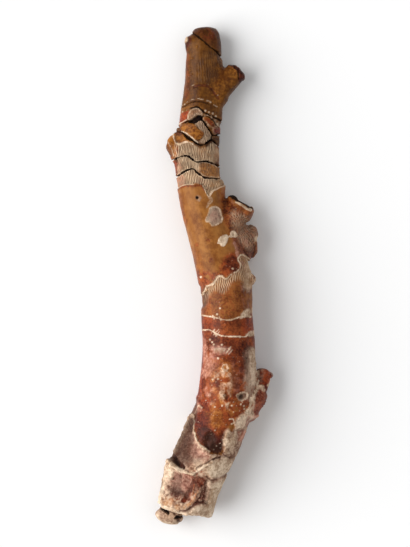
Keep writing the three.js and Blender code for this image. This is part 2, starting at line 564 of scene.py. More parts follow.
    def grow(self) -> None:
        """Gives the bare skin its gentle swellings and fine unevenness, and the crust its lumps."""
        self.depth -= self.SWELL * self.grain.layered(self.spots, self.SWELLS)
        self.depth -= self.WAVE * self.grain.layered(self.spots, self.WAVES)
        rough = self.CRUST_ROUGH * self.amount[CRUST]
        self.depth -= rough * self.grain.layered(self.spots, self.CRUST_GRAINS)
        lumps = np.maximum(self.grain.layered(self.spots, self.CRUST_LUMPS), 0.0)
        self.depth -= self.CRUST_LUMP * rough * lumps

    def finish_mesh(self) -> None:
        """Moves the vertices to the carved surface, keeps them above the table and stores the finishes."""
        moved = self.spots - self.depth[:, None] * self.out
        moved[:, 2] = np.maximum(moved[:, 2], 0.0)
        self.mesh.vertices.foreach_set("co", (moved * MM).astype(np.float32).ravel())
        shares = {finish.value: amount for finish, amount in self.amount.items()}
        # The relief feeds the painted shade that the material lays in the carved hollows.
        relief = 0.5 - 0.5 * self.depth
        for name, values in {**shares, "rib": self.rib, "relief": relief}.items():
            layer = self.mesh.attributes.new(name, "FLOAT", "POINT")
            layer.data.foreach_set("value", np.clip(values, 0.0, 1.0).astype(np.float32))
        layer = self.mesh.attributes.new("straight", "FLOAT_VECTOR", "POINT")
        layer.data.foreach_set("vector", (self.straight * MM).astype(np.float32).ravel())
        self.mesh.update()


class Blank:
    """The uncarved branch, fused from copies of the frame's pieces."""

    OVERLAP = 0.25 * MM
    MERGE = 0.001 * MM
    STEEPEST = 2.0
    VOXEL = 0.95 * MM
    SMOOTHING = 6
    SMOOTH_SHARE = 0.5
    LEVELS = 2
    FINE_FROM = 4.0

    def __init__(self, nodes: dict[str, bpy.types.Object]) -> None:
        """Keeps the frame's pieces."""
        self.nodes = nodes

    def swollen(self, node: bpy.types.Object) -> bpy.types.Mesh:
        """Copies one piece, a little fatter, so that it overlaps its neighbours.

        Args:
            node: The frame piece.

        Returns:
            The merged copy's mesh.
        """
        shape = bmesh.new()
        shape.from_mesh(node.data)
        bmesh.ops.remove_doubles(shape, verts=shape.verts, dist=self.MERGE)
        shape.normal_update()
        moves = [v.normal * self.OVERLAP * min(self.STEEPEST, v.calc_shell_factor()) for v in shape.verts]
        for vertex, move in zip(shape.verts, moves):
            vertex.co += move
        mesh = bpy.data.meshes.new("swollen_copy")
        shape.to_mesh(mesh)
        shape.free()
        return mesh

    def fused(self, ribbed: list[np.ndarray]) -> bpy.types.Mesh:
        """Makes one smooth closed skin around all the pieces.

        Args:
            ribbed: The outlines of the ribbed areas, which get a finer mesh.

        Returns:
            The skin's mesh.
        """
        shape = bmesh.new()
        for node in self.nodes.values():
            copy = self.swollen(node)
            shape.from_mesh(copy)
            bpy.data.meshes.remove(copy)
        mesh = bpy.data.meshes.new("blank")
        shape.to_mesh(mesh)
        shape.free()
        blank = bpy.data.objects.new("blank", mesh)
        bpy.context.scene.collection.objects.link(blank)
        remesh = blank.modifiers.new("fuse", "REMESH")
        remesh.mode = "VOXEL"
        remesh.voxel_size = self.VOXEL
        smooth = blank.modifiers.new("smooth", "SMOOTH")
        smooth.factor = self.SMOOTH_SHARE
        smooth.iterations = self.SMOOTHING
        refine = blank.modifiers.new("refine", "SUBSURF")
        refine.levels = refine.render_levels = self.LEVELS
        made = bmesh.new()
        fine = blank.evaluated_get(bpy.context.evaluated_depsgraph_get())
        made.from_mesh(fine.to_mesh())
        fine.to_mesh_clear()
        bpy.data.objects.remove(blank)
        bpy.data.meshes.remove(mesh)
        self.refine(made, ribbed)
        made.normal_update()
        for vertex, move in [(v, v.normal * self.OVERLAP) for v in made.verts]:
            vertex.co -= move
        mesh = bpy.data.meshes.new("skin")
        made.to_mesh(mesh)
        made.free()
        return mesh

    def refine(self, shape: bmesh.types.BMesh, ribbed: list[np.ndarray]) -> None:
        """Splits the faces of the ribbed areas in four.

        Args:
            shape: The blank.
            ribbed: The outlines of the ribbed areas.
        """
        spots = np.array([f.calc_center_median() for f in shape.faces]) / MM
        chosen = np.zeros(len(spots), bool)
        for line in ribbed:
            low, high = line.min(axis=0), line.max(axis=0)
            near = np.all((spots[:, :2] > low) & (spots[:, :2] < high), axis=1)
            chosen |= near & within(spots[:, :2], line) & (spots[:, 2] > self.FINE_FROM)
        edges = {e for f, pick in zip(shape.faces, chosen) if pick for e in f.edges}
        bmesh.ops.subdivide_edges(shape, edges=list(edges), cuts=1, use_grid_fill=True)


@dataclass(frozen=True)
class Fork:
    """A cut through the branch at a fork. It takes off what lies beyond an upright plane.

    The plane faces heading, in degrees from +X towards +Y, and lies just short of the pieces taken, or of
    the piece named as the edge. The source is the part that is cut, at first the rest of the branch.
    """

    piece: str
    heading: float
    source: str = ""
    takes: tuple[str, ...] = ()
    edge: str = ""


class Saw:
    """Cuts the carved skin at the forks into one closed piece for each piece of the frame."""

    KERF = 0.3 * MM
    MARGIN = 1.3 * MM
    ON_PLANE = 1e-7
    REST = "root_end"
    TIP = ("upper_stem", "tip_right_lobe", "tip_left_lobe", "upper_stub")
    NECK = ("cracked_neck", "left_knob")
    SHOULDER = ("shoulder_lower_stub", "shoulder_upper_stub")
    FORKS = (
        Fork("upper_stem", 90.0, takes=TIP, edge="upper_stem"),
        Fork("upper_stub", 25.5, source="upper_stem"),
        Fork("tip_left_lobe", 157.0, source="upper_stem"),
        Fork("tip_right_lobe", 43.8, source="upper_stem"),
        Fork("cracked_neck", 98.05, takes=NECK, edge="cracked_neck"),
        Fork("left_knob", 163.7, source="cracked_neck"),
        Fork("middle_stem", 102.7, takes=("middle_stem", *SHOULDER), edge="middle_stem"),
        Fork("shoulder_lower_stub", 19.9, source="middle_stem", takes=SHOULDER),
        Fork("shoulder_upper_stub", 109.9, source="shoulder_lower_stub"),
        Fork("lower_stub", -5.8),
        Fork("lower_stem", 68.3),
        Fork("foot_lobe", -102.7),
    )

    def __init__(self, whole: bmesh.types.BMesh, nodes: dict[str, bpy.types.Object]) -> None:
        """Starts with the whole branch as the rest that is left."""
        self.parts = {self.REST: whole}
        self.nodes = nodes

    def cut(self, fork: Fork) -> None:
        """Takes one piece off its source and closes both cut faces.

        Args:
            fork: The fork to cut at.
        """
        source = self.parts[fork.source or self.REST]
        turn = math.radians(fork.heading)
        ahead = Vector((math.cos(turn), math.sin(turn), 0.0))
        takes = fork.takes or (fork.piece,)
        edges_of = (fork.edge,) if fork.edge else takes
        reaches = [vertices_of(self.nodes[name].data) @ np.array(ahead) for name in edges_of]
        start = min(float(reach.min()) for reach in reaches) - self.KERF / 2
        boxes = [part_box(name) for name in takes]
        low = Vector(min(b[0][k] for b in boxes) - self.MARGIN for k in range(3))
        high = Vector(max(b[1][k] for b in boxes) + self.MARGIN for k in range(3))

        def local() -> set[bmesh.types.BMFace]:
            """Returns the faces in the box around the piece that comes off."""
            near = [v for v in source.verts if self.between(low, v.co, high)]
            return {f for v in near for f in v.link_faces}

        faces = local()
        edges = {e for f in faces for e in f.edges}
        verts = {v for f in faces for v in f.verts}
        bmesh.ops.bisect_plane(
            source,
            geom=[*faces, *edges, *verts],
            dist=self.ON_PLANE,
            plane_co=ahead * start,
            plane_no=ahead,
        )
        beyond = {f for f in local() if f.calc_center_median().dot(ahead) > start}
        island = self.largest(beyond)
        taken = source.copy()
        taken.faces.ensure_lookup_table()
        source.faces.ensure_lookup_table()
        source.faces.index_update()
        wanted = {f.index for f in island}
        stay = [f for f in taken.faces if f.index not in wanted]
        bmesh.ops.delete(taken, geom=stay, context="FACES")
        bmesh.ops.delete(source, geom=list(island), context="FACES")
        for shape in (source, taken):
            self.close(shape)
        self.parts[fork.piece] = taken

    @staticmethod
    def between(low: Vector, place: Vector, high: Vector) -> bool:
        """Returns whether a place lies inside a box."""
        x, y, z = place
        return low.x < x < high.x and low.y < y < high.y and low.z < z < high.z

    @staticmethod
    def largest(faces: set[bmesh.types.BMFace]) -> set[bmesh.types.BMFace]:
        """Finds the largest connected group of faces.

        Args:
            faces: The faces to look among.

        Returns:
            The faces of that group.
        """
        left, best = set(faces), set()
        while left:
            group, edge = set(), [left.pop()]
            while edge:
                face = edge.pop()
                group.add(face)
                for other in (f for e in face.edges for f in e.link_faces):
                    if other in left:
                        left.remove(other)
                        edge.append(other)
            if len(group) > len(best):
                best = group
        return best

    @staticmethod
    def close(shape: bmesh.types.BMesh) -> None:
        """Fills the open cut with a flat face whose edge stays sharp.

        Args:
            shape: The piece that was cut.
        """
        rim = [e for e in shape.edges if e.is_boundary]
        made = bmesh.ops.holes_fill(shape, edges=rim, sides=0)["faces"]
        for face in made:
            face.smooth = False
        for edge in rim:
            edge.smooth = False

    def cut_all(self) -> dict[str, bmesh.types.BMesh]:
        """Makes every cut in order and drops the loose crumbs.

        Returns:
            The pieces by name.
        """
        for fork in self.FORKS:
            self.cut(fork)
        for shape in self.parts.values():
            faces = set(shape.faces)
            bmesh.ops.delete(shape, geom=list(faces - self.largest(faces)), context="FACES")
        return self.parts


@dataclass(frozen=True)
class On:
    """Names the frame piece that the marks after it lie on. They are measured from its box's middle."""

    piece: str


class Region:
    """A stretch of the branch and the marks that are laid on it, in order."""

    marks: tuple[On | Mark, ...] = ()

    def placed(self) -> Iterator[tuple[Mark, np.ndarray]]:
        """Yields each mark with its route on the branch, in millimetres."""
        middle = np.zeros(2)
        for mark in self.marks:
            if isinstance(mark, On):
                middle = middle_of(mark.piece)[:2]
            else:
                yield mark, np.array(mark.route) + middle

    def ribbed(self) -> list[np.ndarray]:
        """Returns the outlines of the ribbed areas."""
        return [route for mark, route in self.placed() if isinstance(mark, Ribs)]

    def carve(self, skin: Skin) -> None:
        """Lays every mark on the skin.

        Args:
            skin: The skin that is carved.
        """
        ways = {Stroke: skin.stroke, Patch: skin.patch, Dots: skin.dots, Ribs: skin.ribs}
        placed = list(self.placed())
        for mark, route in placed:
            ways[type(mark)](mark, route)
        log.info("%s: %d marks", type(self).__name__, len(placed))


class OutlineMarks(Region):
    """The small swellings and hollows that give the branch its outline."""

    marks = (
        On("upper_stub"),
        swelling(-1.15, 1.0, ((0.9, 7.6), (6.8, 6.6), (7.5, 0.3), (4.0, 0.4), (2.6, 2.2), (1.6, 3.4))),
        swelling(-0.9, 1.0, ((-3.3, 6.9), (0.5, 6.9), (0.5, 3.9), (-1.6, 2.9), (-3.7, 2.7))),
        On("left_knob"),
        swelling(-0.5, 0.6, ((-3.2, 5.9), (2.1, 5.9), (2.1, 3.5), (-0.7, 2.8), (-2.8, 2.4))),
        swelling(0.45, 0.6, ((-4.2, 1.4), (-2.1, 1.4), (-0.7, -2.1), (-0.4, -4.6), (-4.2, -3.5))),
        On("upper_stem"),
        swelling(-0.75, 1.0, ((5.3, -11.0), (9.1, -11.0), (8.4, -18.7), (4.6, -18.7), (4.6, -13.8))),
        On("tip_left_lobe"),
        swelling(-0.2, 0.8, ((-3.3, 4.0), (0.2, 4.0), (-0.9, -0.2), (-0.9, -3.7), (-3.3, -3.7))),
        On("tip_right_lobe"),
        swelling(-0.2, 0.5, ((2.2, 7.2), (6.4, 5.8), (6.4, 2.3), (3.3, 3.3))),
        On("middle_stem"),
        swelling(-1.3, 1.2, ((2.5, 17.4), (6.0, 16.0), (8.8, 11.8), (6.7, 9.7), (3.9, 11.1), (1.8, 14.6))),
        On("shoulder_upper_stub"),
        swelling(-1.1, 0.7, ((1.7, 0.4), (5.2, 1.5), (5.9, -3.1), (3.8, -4.5), (2.0, -2.4))),
        On("shoulder_lower_stub"),
        swelling(-1.1, 0.7, ((0.9, 7.1), (5.1, 7.1), (6.5, 1.5), (3.0, 1.5), (1.6, 3.6))),
        On("middle_stem"),
        swelling(-0.6, 0.7, ((11.3, -9.2), (15.1, -9.5), (15.1, -14.8), (12.0, -14.8))),
        On("lower_stem"),
        swelling(0.55, 0.8, ((-9.1, 20.6), (-5.2, 21.4), (-5.2, 15.1), (-9.1, 14.3))),
        swelling(-0.45, 1.0, ((9.8, 23.4), (15.4, 24.8), (16.8, -6.6), (10.5, -5.2), (10.2, 9.5))),
        On("lower_stub"),
        swelling(-1.5, 0.8, ((-1.6, 12.5), (6.1, 12.5), (5.4, 5.5), (2.6, 6.9), (-0.9, 6.5))),
        On("root_end"),
        swelling(-1.0, 1.0, ((17.8, 22.9), (24.8, 23.6), (24.1, 15.2), (18.5, 13.8), (16.4, 17.3))),
        swelling(0.9, 1.0, ((-7.4, 22.9), (-1.8, 22.2), (-3.2, 13.1), (-7.4, 12.4))),
        swelling(1.2, 1.0, ((-14.4, 12.4), (-7.1, 12.4), (-8.1, 6.1), (-11.6, 0.5), (-15.1, 0.5)),
            ragged=0.2),
        swelling(0.9, 0.9, ((-17.9, -0.2), (-12.7, -0.2), (-13.0, -7.2), (-14.4, -15.6), (-17.9, -15.6)),
            ragged=0.4),
        On("foot_lobe"),
        swelling(-0.35, 0.6, ((-6.0, 1.1), (6.6, 1.1), (6.6, -5.2), (-6.0, -5.2))),
    )


class TipMarks(Region):
    """The brown upper stem, its capped tip, the small scarred lobe and the upper right stub."""

    marks = (
        On("upper_stem"),
        Patch(TIP, 0.97, 0.4, ((-11.8, 19.1), (11.2, 19.1), (16.8, 4.8), (19.6, -11.0), (7.7, -19.4),
            (5.3, -19.0), (2.8, -17.3), (0.0, -15.5), (-2.8, -13.6), (-5.5, -13.8), (-8.0, -15.2),
            (-11.8, -15.9)), side=Side.ROUND),
        On("tip_right_lobe"),
        Patch(TIP, 1.0, 0.15, ((-6.9, 10.0), (9.9, 10.0), (9.9, -8.2), (5.0, -6.8), (4.1, -4.2),
            (2.9, -3.0), (1.0, -1.7), (-0.6, -0.2), (-3.4, 2.0), (-5.8, 4.0)), press=-0.18, ragged=0.1,
            lip=0.15, side=Side.ROUND),
        Stroke(SHADE, 0.9, 0.12, ((-6.5, 5.1), (-5.4, 3.6), (-3.4, 2.0), (-0.6, -0.2), (1.0, -1.7),
            (2.9, -3.0), (4.1, -4.2), (4.9, -6.4), (5.4, -8.5)), press=0.5, soft=0.2, ragged=0.15,
            side=Side.ROUND),
        Patch(RED, 0.4, 0.6, ((-1.6, 4.8), (2.2, 5.1), (3.3, 3.3), (2.2, 0.2), (0.1, 0.5), (-2.0, 3.0)),
            mottle=0.2),
        On("upper_stem"),
        Patch(GOLD, 0.36, 1.8, ((2.5, 4.4), (6.3, 2.3), (11.9, -0.5), (10.5, -5.4), (6.3, -11.0),
            (3.5, -15.2), (1.1, -10.3), (1.8, -2.6))),
        On("tip_right_lobe"),
        Patch(WINE, 0.45, 0.8, ((-6.2, 5.8), (4.3, 6.5), (4.7, -2.6), (1.5, -1.5), (-3.4, 2.7))),
        Patch(GOLD, 0.25, 0.6, ((0.1, 0.5), (2.2, 1.6), (3.6, -0.5), (3.6, -3.0), (1.2, -1.2))),
        Patch(ASH, 0.35, 0.3, ((3.3, -3.3), (4.7, -4.0), (5.4, -6.8), (5.4, -8.9), (4.0, -5.8))),
        On("tip_left_lobe"),
        Patch(WINE, 0.75, 0.4, ((-1.9, 2.3), (-0.2, 2.6), (0.5, 0.9), (0.3, -1.6), (-0.9, -3.0),
            (-1.9, -3.0))),
        Patch(CREAM, 0.85, 0.15, ((-1.8, 0.9), (-0.9, 1.1), (-0.5, 0.5), (-0.7, -0.7), (-1.3, -0.9),
            (-1.8, -0.7)), press=-0.25, ragged=0.15),
        On("upper_stem"),
        Stroke(RED, 0.3, 0.3, ((-6.8, 6.5), (-6.8, 1.3), (-6.4, -4.0), (-6.6, -9.9)), soft=1.0, ragged=0.7),
        Dots(GOLD, 0.35, 0.36, ((-5.5, -0.8), (-4.8, 3.4), (-3.1, 7.6), (-5.0, -2.2)), press=-0.2),
        Ribs(0.05, 1.0, 0.06, ((-3.1, 1.6), (0.0, 5.5), (3.5, 4.8), (4.2, -3.3), (0.4, -5.0), (-2.8, -4.0)),
            pitch=0.8),
        Stroke(CREAM, 0.7, 0.13, ((-4.8, -6.1), (-3.1, -5.4), (-1.0, -5.4), (0.8, -5.7)), press=-0.06,
            dashes=0.8),
        Stroke(WINE, 0.7, 0.25, ((-4.1, -6.6), (-2.4, -6.1), (0.0, -6.2), (1.8, -7.3), (3.2, -9.2),
            (4.4, -10.6)), press=0.14, soft=0.3),
        Stroke(CREAM, 0.5, 0.1, ((2.7, -7.0), (3.4, -7.8), (4.2, -9.2)), press=-0.12, soft=0.25, ragged=0.3,
            dashes=0.7),
        Stroke(CREAM, 0.65, 0.07, ((-8.0, -12.9), (-7.0, -12.3), (-5.5, -11.3), (-3.5, -10.8),
            (-1.0, -11.1)), press=-0.12, dashes=0.9),
        Stroke(CREAM, 0.5, 0.08, ((0.0, -11.3), (1.1, -11.7), (2.0, -12.2)), press=-0.1, ragged=0.3,
            dashes=0.8),
        Stroke(CREAM, 0.4, 0.1, ((2.7, -12.9), (3.9, -13.4))),
        Stroke(SHADE, 0.6, 0.14, ((-8.3, -13.6), (-7.0, -13.0), (-5.5, -12.2), (-3.5, -11.7), (-1.0, -12.0),
            (1.1, -12.7)), press=0.22),
        On("upper_stub"),
        Patch(WINE, 0.9, 0.15, ((1.0, 4.5), (2.6, 4.5), (4.4, 3.1), (5.8, 0.6), (4.4, -1.1), (3.1, -1.3),
            (2.6, -0.4), (3.0, 0.8), (2.3, 2.2), (1.2, 3.4)), ragged=0.15),
        Patch(WINE, 0.65, 0.25, ((-0.9, 5.0), (1.6, 5.3), (2.6, 4.1), (1.6, 3.2), (-0.5, 3.9)), press=0.12),
        Stroke(SHADE, 0.7, 0.15, ((1.2, 3.9), (2.4, 2.4), (2.8, -0.1)), press=0.25),
    )


class NeckMarks(Region):
    """The cracked neck with its fine ribs, its golden plates and the left knob."""

    marks = (
        On("cracked_neck"),
        Patch(RIBBED, 1.0, 0.2, ((-10.0, 13.0), (-4.8, 13.2), (-2.3, 14.4), (0.5, 14.6), (3.3, 12.7),
            (6.1, 10.9), (12.4, 7.4), (12.4, -12.2), (9.6, -12.2), (6.4, -14.3), (5.0, -16.0), (4.2, -17.1),
            (1.5, -13.6), (0.5, -12.2), (-2.3, -12.5), (-4.4, -13.2), (-10.0, -15.0), (-7.9, -4.5),
            (-7.2, -1.0)), side=Side.ROUND),
        Patch(TIP, 0.75, 0.4, ((0.8, 14.4), (3.3, 13.0), (8.9, 10.2), (11.0, 4.6), (5.7, 4.3), (3.6, 7.1),
            (1.9, 9.9))),
        Patch(TIP, 0.6, 0.4, ((-8.6, 13.0), (-2.3, 14.4), (-1.6, 9.9), (-5.5, 8.1), (-8.6, 7.4))),
        Ribs(1.0, 0.5, 0.15, ((-7.4, 1.6), (-4.4, 1.6), (-2.0, 1.8), (-0.2, 0.6), (1.9, 0.1), (4.0, 0.8),
            (5.2, 2.0), (6.8, 0.6), (7.8, -1.0), (7.1, -4.5), (2.2, -4.1), (1.2, -5.9), (2.2, -10.4),
            (8.9, -11.1), (6.4, -14.3), (5.0, -16.0), (4.2, -17.1), (1.5, -13.6), (0.5, -12.2),
            (-2.3, -12.5), (-4.4, -13.2), (-6.5, -13.6), (-6.9, -9.4), (-6.5, -4.5), (-7.4, -3.1)),
            side=Side.ROUND),
        Ribs(0.3, 0.8, 0.08, ((1.2, -5.2), (11.0, -6.6), (11.0, -10.1), (2.2, -9.7)), side=Side.ROUND),
        Ribs(0.35, 0.8, 0.09, ((7.1, 0.4), (11.7, -0.3), (11.7, -5.9), (7.1, -5.2)), side=Side.ROUND),
        Ribs(0.6, 0.4, 0.14, ((-0.6, 9.2), (1.5, 9.9), (2.9, 8.5), (4.3, 6.4), (5.2, 4.6), (5.7, 3.9),
            (5.0, 2.9), (2.9, 2.0), (0.8, 2.2), (2.4, 4.1), (2.6, 5.5), (1.0, 6.7), (0.0, 7.8))),
        Patch(ASH, 0.45, 0.3, ((-0.6, 9.2), (1.5, 9.9), (2.9, 8.5), (4.3, 6.4), (5.2, 4.6), (4.7, 3.0),
            (2.9, 2.0), (0.8, 2.0), (2.4, 4.1), (2.6, 5.5), (1.0, 6.7), (0.0, 7.8))),
        Patch(ASH, 0.35, 0.3, ((-2.8, 12.0), (-1.1, 13.7), (0.5, 13.9), (2.1, 12.3), (1.7, 11.5),
            (0.1, 12.0), (-1.1, 10.7), (-2.7, 10.3)), press=-0.2, rim=0.4, mottle=-0.1),
        Patch(GOLD, 0.65, 0.4, ((-1.6, 12.8), (0.5, 13.5), (1.7, 12.3), (0.1, 12.3), (-1.6, 11.3))),
        Ribs(0.3, 0.3, 0.1, ((-3.0, 12.3), (0.5, 14.1), (2.2, 12.3), (0.1, 11.6), (-2.7, 9.9))),
        Patch(RED, 0.95, 0.2, ((-5.8, 12.0), (-4.4, 12.8), (-2.9, 13.4), (-2.7, 12.0), (-3.4, 10.2),
            (-4.8, 9.2), (-6.2, 8.8))),
        Stroke(GOLD, 0.6, 0.15, ((-3.6, 12.5), (-3.8, 11.3), (-4.4, 10.4))),
        Stroke(CREAM, 0.6, 0.09, ((-6.2, 12.1), (-5.1, 12.8), (-3.7, 13.6), (-2.3, 14.1)), press=-0.08,
            dashes=1.2),
        Stroke(CREAM, 0.9, 0.12, ((-5.8, 8.8), (-4.6, 9.5), (-3.4, 10.1)), press=-0.12),
        Stroke(SHADE, 0.95, 0.16, ((-2.3, 14.1), (0.1, 14.5), (1.8, 13.5), (3.0, 12.4), (5.2, 11.4),
            (6.8, 10.8), (8.9, 9.5)), press=0.5, soft=0.2, ragged=0.3),
        Dots(CREAM, 0.65, 0.36, ((3.1, 13.2), (4.3, 12.7), (5.6, 12.3), (6.6, 11.4), (3.8, 11.6),
            (5.0, 10.7)), press=-0.1),
        Patch(GOLD, 1.0, 0.25, ((-5.5, 7.6), (-3.4, 8.7), (-1.3, 8.6), (-0.2, 7.9), (0.8, 6.7), (2.4, 5.5),
            (2.2, 4.1), (1.0, 3.0), (-0.6, 3.2), (-2.0, 4.3), (-4.1, 5.7), (-5.3, 6.4)), press=-0.3,
            lip=0.1),
        Patch(RED, 0.35, 0.8, ((-3.7, 8.1), (-1.3, 7.8), (-0.2, 6.4), (-1.6, 5.3), (-3.7, 6.4)),
            mottle=0.3),
        Patch(GOLD, 0.8, 0.3, ((2.4, 10.7), (4.3, 11.3), (5.6, 10.0), (7.0, 8.0), (5.7, 7.2), (3.6, 8.7)),
            press=-0.25, ragged=0.6, rim=0.3),
        Patch(RED, 0.75, 0.5, ((2.9, 10.0), (4.3, 10.2), (6.1, 8.1), (5.0, 8.1))),
        Stroke(SHADE, 0.8, 0.2, ((2.1, 10.9), (3.3, 11.3), (4.7, 10.7), (6.1, 9.3), (7.3, 7.6)), press=0.35,
            ragged=0.3),
        Patch(RED, 1.0, 0.3, ((5.8, 7.2), (7.3, 7.9), (8.4, 6.7), (8.2, 5.3), (7.0, 5.0), (5.8, 5.8)),
            press=-0.2, rim=0.2),
        Patch(CREAM, 0.75, 0.4, ((5.9, 10.0), (7.5, 10.0), (7.8, 7.9), (6.8, 8.3)), mottle=0.1),
        crack(0.15, ((-7.6, 7.1), (-6.5, 7.7), (-5.5, 8.5), (-3.7, 9.4), (-2.0, 9.9))),
        Patch(SHADE, 1.0, 0.15, ((-2.7, 9.3), (-1.3, 10.6), (0.1, 11.2), (1.7, 11.6), (2.2, 10.9),
            (1.9, 9.5), (1.0, 9.6), (0.1, 9.0), (-1.3, 8.8)), press=1.0, ragged=0.45),
        crack(0.16, ((1.7, 10.6), (2.8, 9.0), (3.8, 7.4), (5.0, 5.7), (6.1, 4.6), (7.3, 5.0), (10.3, 5.3))),
        Stroke(CREAM, 0.95, 0.1, ((-5.3, 6.1), (-3.6, 5.4), (-2.0, 4.1), (-0.7, 2.9), (0.5, 2.0)),
            press=-0.2),
        Patch(SHADE, 1.0, 0.12, ((-5.1, 5.7), (-4.1, 5.0), (-2.7, 4.0), (-1.1, 2.9), (-2.3, 2.8),
            (-3.7, 3.6)), press=1.1, ragged=0.1),
        Stroke(SHADE, 0.6, 0.15, ((-9.3, 6.7), (-7.2, 6.2), (-4.9, 5.7)), press=0.4, side=Side.ROUND),
        crack(0.16, ((-2.0, 3.0), (-0.9, 2.4), (0.3, 1.6), (2.0, 1.1), (3.6, 1.9), (5.2, 3.1), (6.6, 2.1),
            (8.0, 0.8), (10.6, -0.3)), press=1.0),
        Stroke(SHADE, 0.5, 0.15, ((5.6, 4.5), (5.2, 3.7), (5.2, 3.0)), press=0.3),
        Stroke(CREAM, 0.5, 0.15, ((5.7, 2.3), (7.0, 1.1))),
        On("left_knob"),
        Patch(GOLD, 1.0, 0.3, ((-4.2, 6.3), (1.4, 5.2), (1.2, 2.4), (1.4, -0.7), (1.5, -2.8), (1.5, -5.6),
            (-1.4, -6.3), (-4.9, -2.1)), side=Side.ROUND),
        Patch(RED, 0.25, 0.8, ((-4.2, 6.3), (-1.8, 4.9), (-2.1, 2.1), (-1.4, -0.7), (0.3, -4.9),
            (-1.4, -6.3), (-4.9, -2.1)), side=Side.ROUND),
        Stroke(CREAM, 0.85, 0.09, ((0.4, 4.3), (0.6, 2.2), (1.3, 0.1)), press=-0.15, side=Side.ROUND),
        Stroke(CREAM, 0.6, 0.05, ((-1.6, 0.8), (-0.2, -1.8), (0.5, -3.9), (1.0, -5.6)), press=-0.15,
            ragged=0.2),
        On("cracked_neck"),
        Patch(GOLD, 0.75, 0.2, ((-7.7, 5.3), (-5.8, 6.1), (-4.4, 5.1), (-3.4, 3.7), (-1.8, 2.7),
            (-1.3, 1.8), (-3.7, 2.3), (-4.8, 1.6), (-6.5, 2.0)), press=-0.15),
        Patch(WINE, 0.6, 0.4, ((-7.6, 6.2), (-5.5, 6.5), (-4.4, 5.3), (-6.5, 4.6)), press=0.2),
        Stroke(CREAM, 0.6, 0.22, ((-7.2, 2.0), (-5.8, 1.5), (-4.4, 2.1), (-2.7, 2.2), (-1.3, 1.5)),
            press=-0.12),
        Stroke(RED, 0.4, 0.35, ((-7.0, 1.1), (-6.9, -1.0), (-6.9, -3.1)), soft=0.6),
        Patch(RED, 0.85, 0.8, ((-10.7, -3.1), (-7.2, -4.1), (-5.5, -5.9), (-5.8, -8.0), (-6.5, -9.7),
            (-10.7, -10.1)), mottle=-0.6),
        Patch(GOLD, 0.45, 0.5, ((-7.9, -5.9), (-6.2, -6.2), (-6.2, -8.7), (-7.6, -8.7))),
        Patch(GOLD, 0.95, 0.6, ((0.8, -6.1), (2.2, -5.2), (4.7, -5.2), (11.7, -6.9), (11.7, -10.8),
            (2.9, -10.3), (0.8, -8.9)), press=-0.12),
        Patch(GOLD, 0.45, 1.2, ((0.8, 0.1), (3.3, 0.4), (6.8, 0.1), (6.8, -4.8), (3.3, -4.1), (0.5, -2.4))),
        Patch(RED, 0.3, 1.0, ((-0.2, -10.8), (3.6, -11.1), (3.6, -14.3), (2.2, -13.2), (0.1, -12.2))),
        Patch(RED, 0.5, 1.0, ((6.8, 0.8), (10.3, -0.3), (10.3, -6.6), (7.1, -5.2))),
        Patch(CREAM, 0.25, 0.5, ((-0.7, -5.4), (0.8, -5.5), (0.8, -7.6), (-0.6, -6.9))),
        Patch(RED, 0.8, 0.6, ((-10.0, -10.1), (-5.1, -9.0), (-4.1, -10.8), (-4.4, -13.2), (-10.0, -15.0)),
            mottle=-0.4),
        Patch(GOLD, 0.5, 0.4, ((3.3, -11.3), (8.9, -11.3), (8.5, -12.2), (5.7, -13.6), (4.0, -12.9))),
        crack(0.14, ((-10.7, -4.8), (-8.6, -4.0), (-6.9, -3.3), (-4.8, -2.7), (-3.0, -2.7), (-1.4, -3.8),
            (0.0, -4.8), (2.2, -4.6), (4.3, -4.6), (6.8, -5.7), (11.0, -7.3)), rim=0.4, soft=0.2),
        crack(0.14, ((-10.0, -10.8), (-6.4, -9.4), (-4.8, -8.3), (-2.7, -7.4), (-1.1, -7.2), (0.3, -8.4),
            (2.0, -9.7), (3.6, -10.3), (11.3, -10.6)), rim=0.4, soft=0.2),
        Dots(SHADE, 0.6, 0.22, ((-2.3, -1.7), (-1.3, -2.4), (-0.2, -3.3), (2.2, -12.5), (3.6, -14.3),
            (3.3, -13.2)), press=0.2),
    )


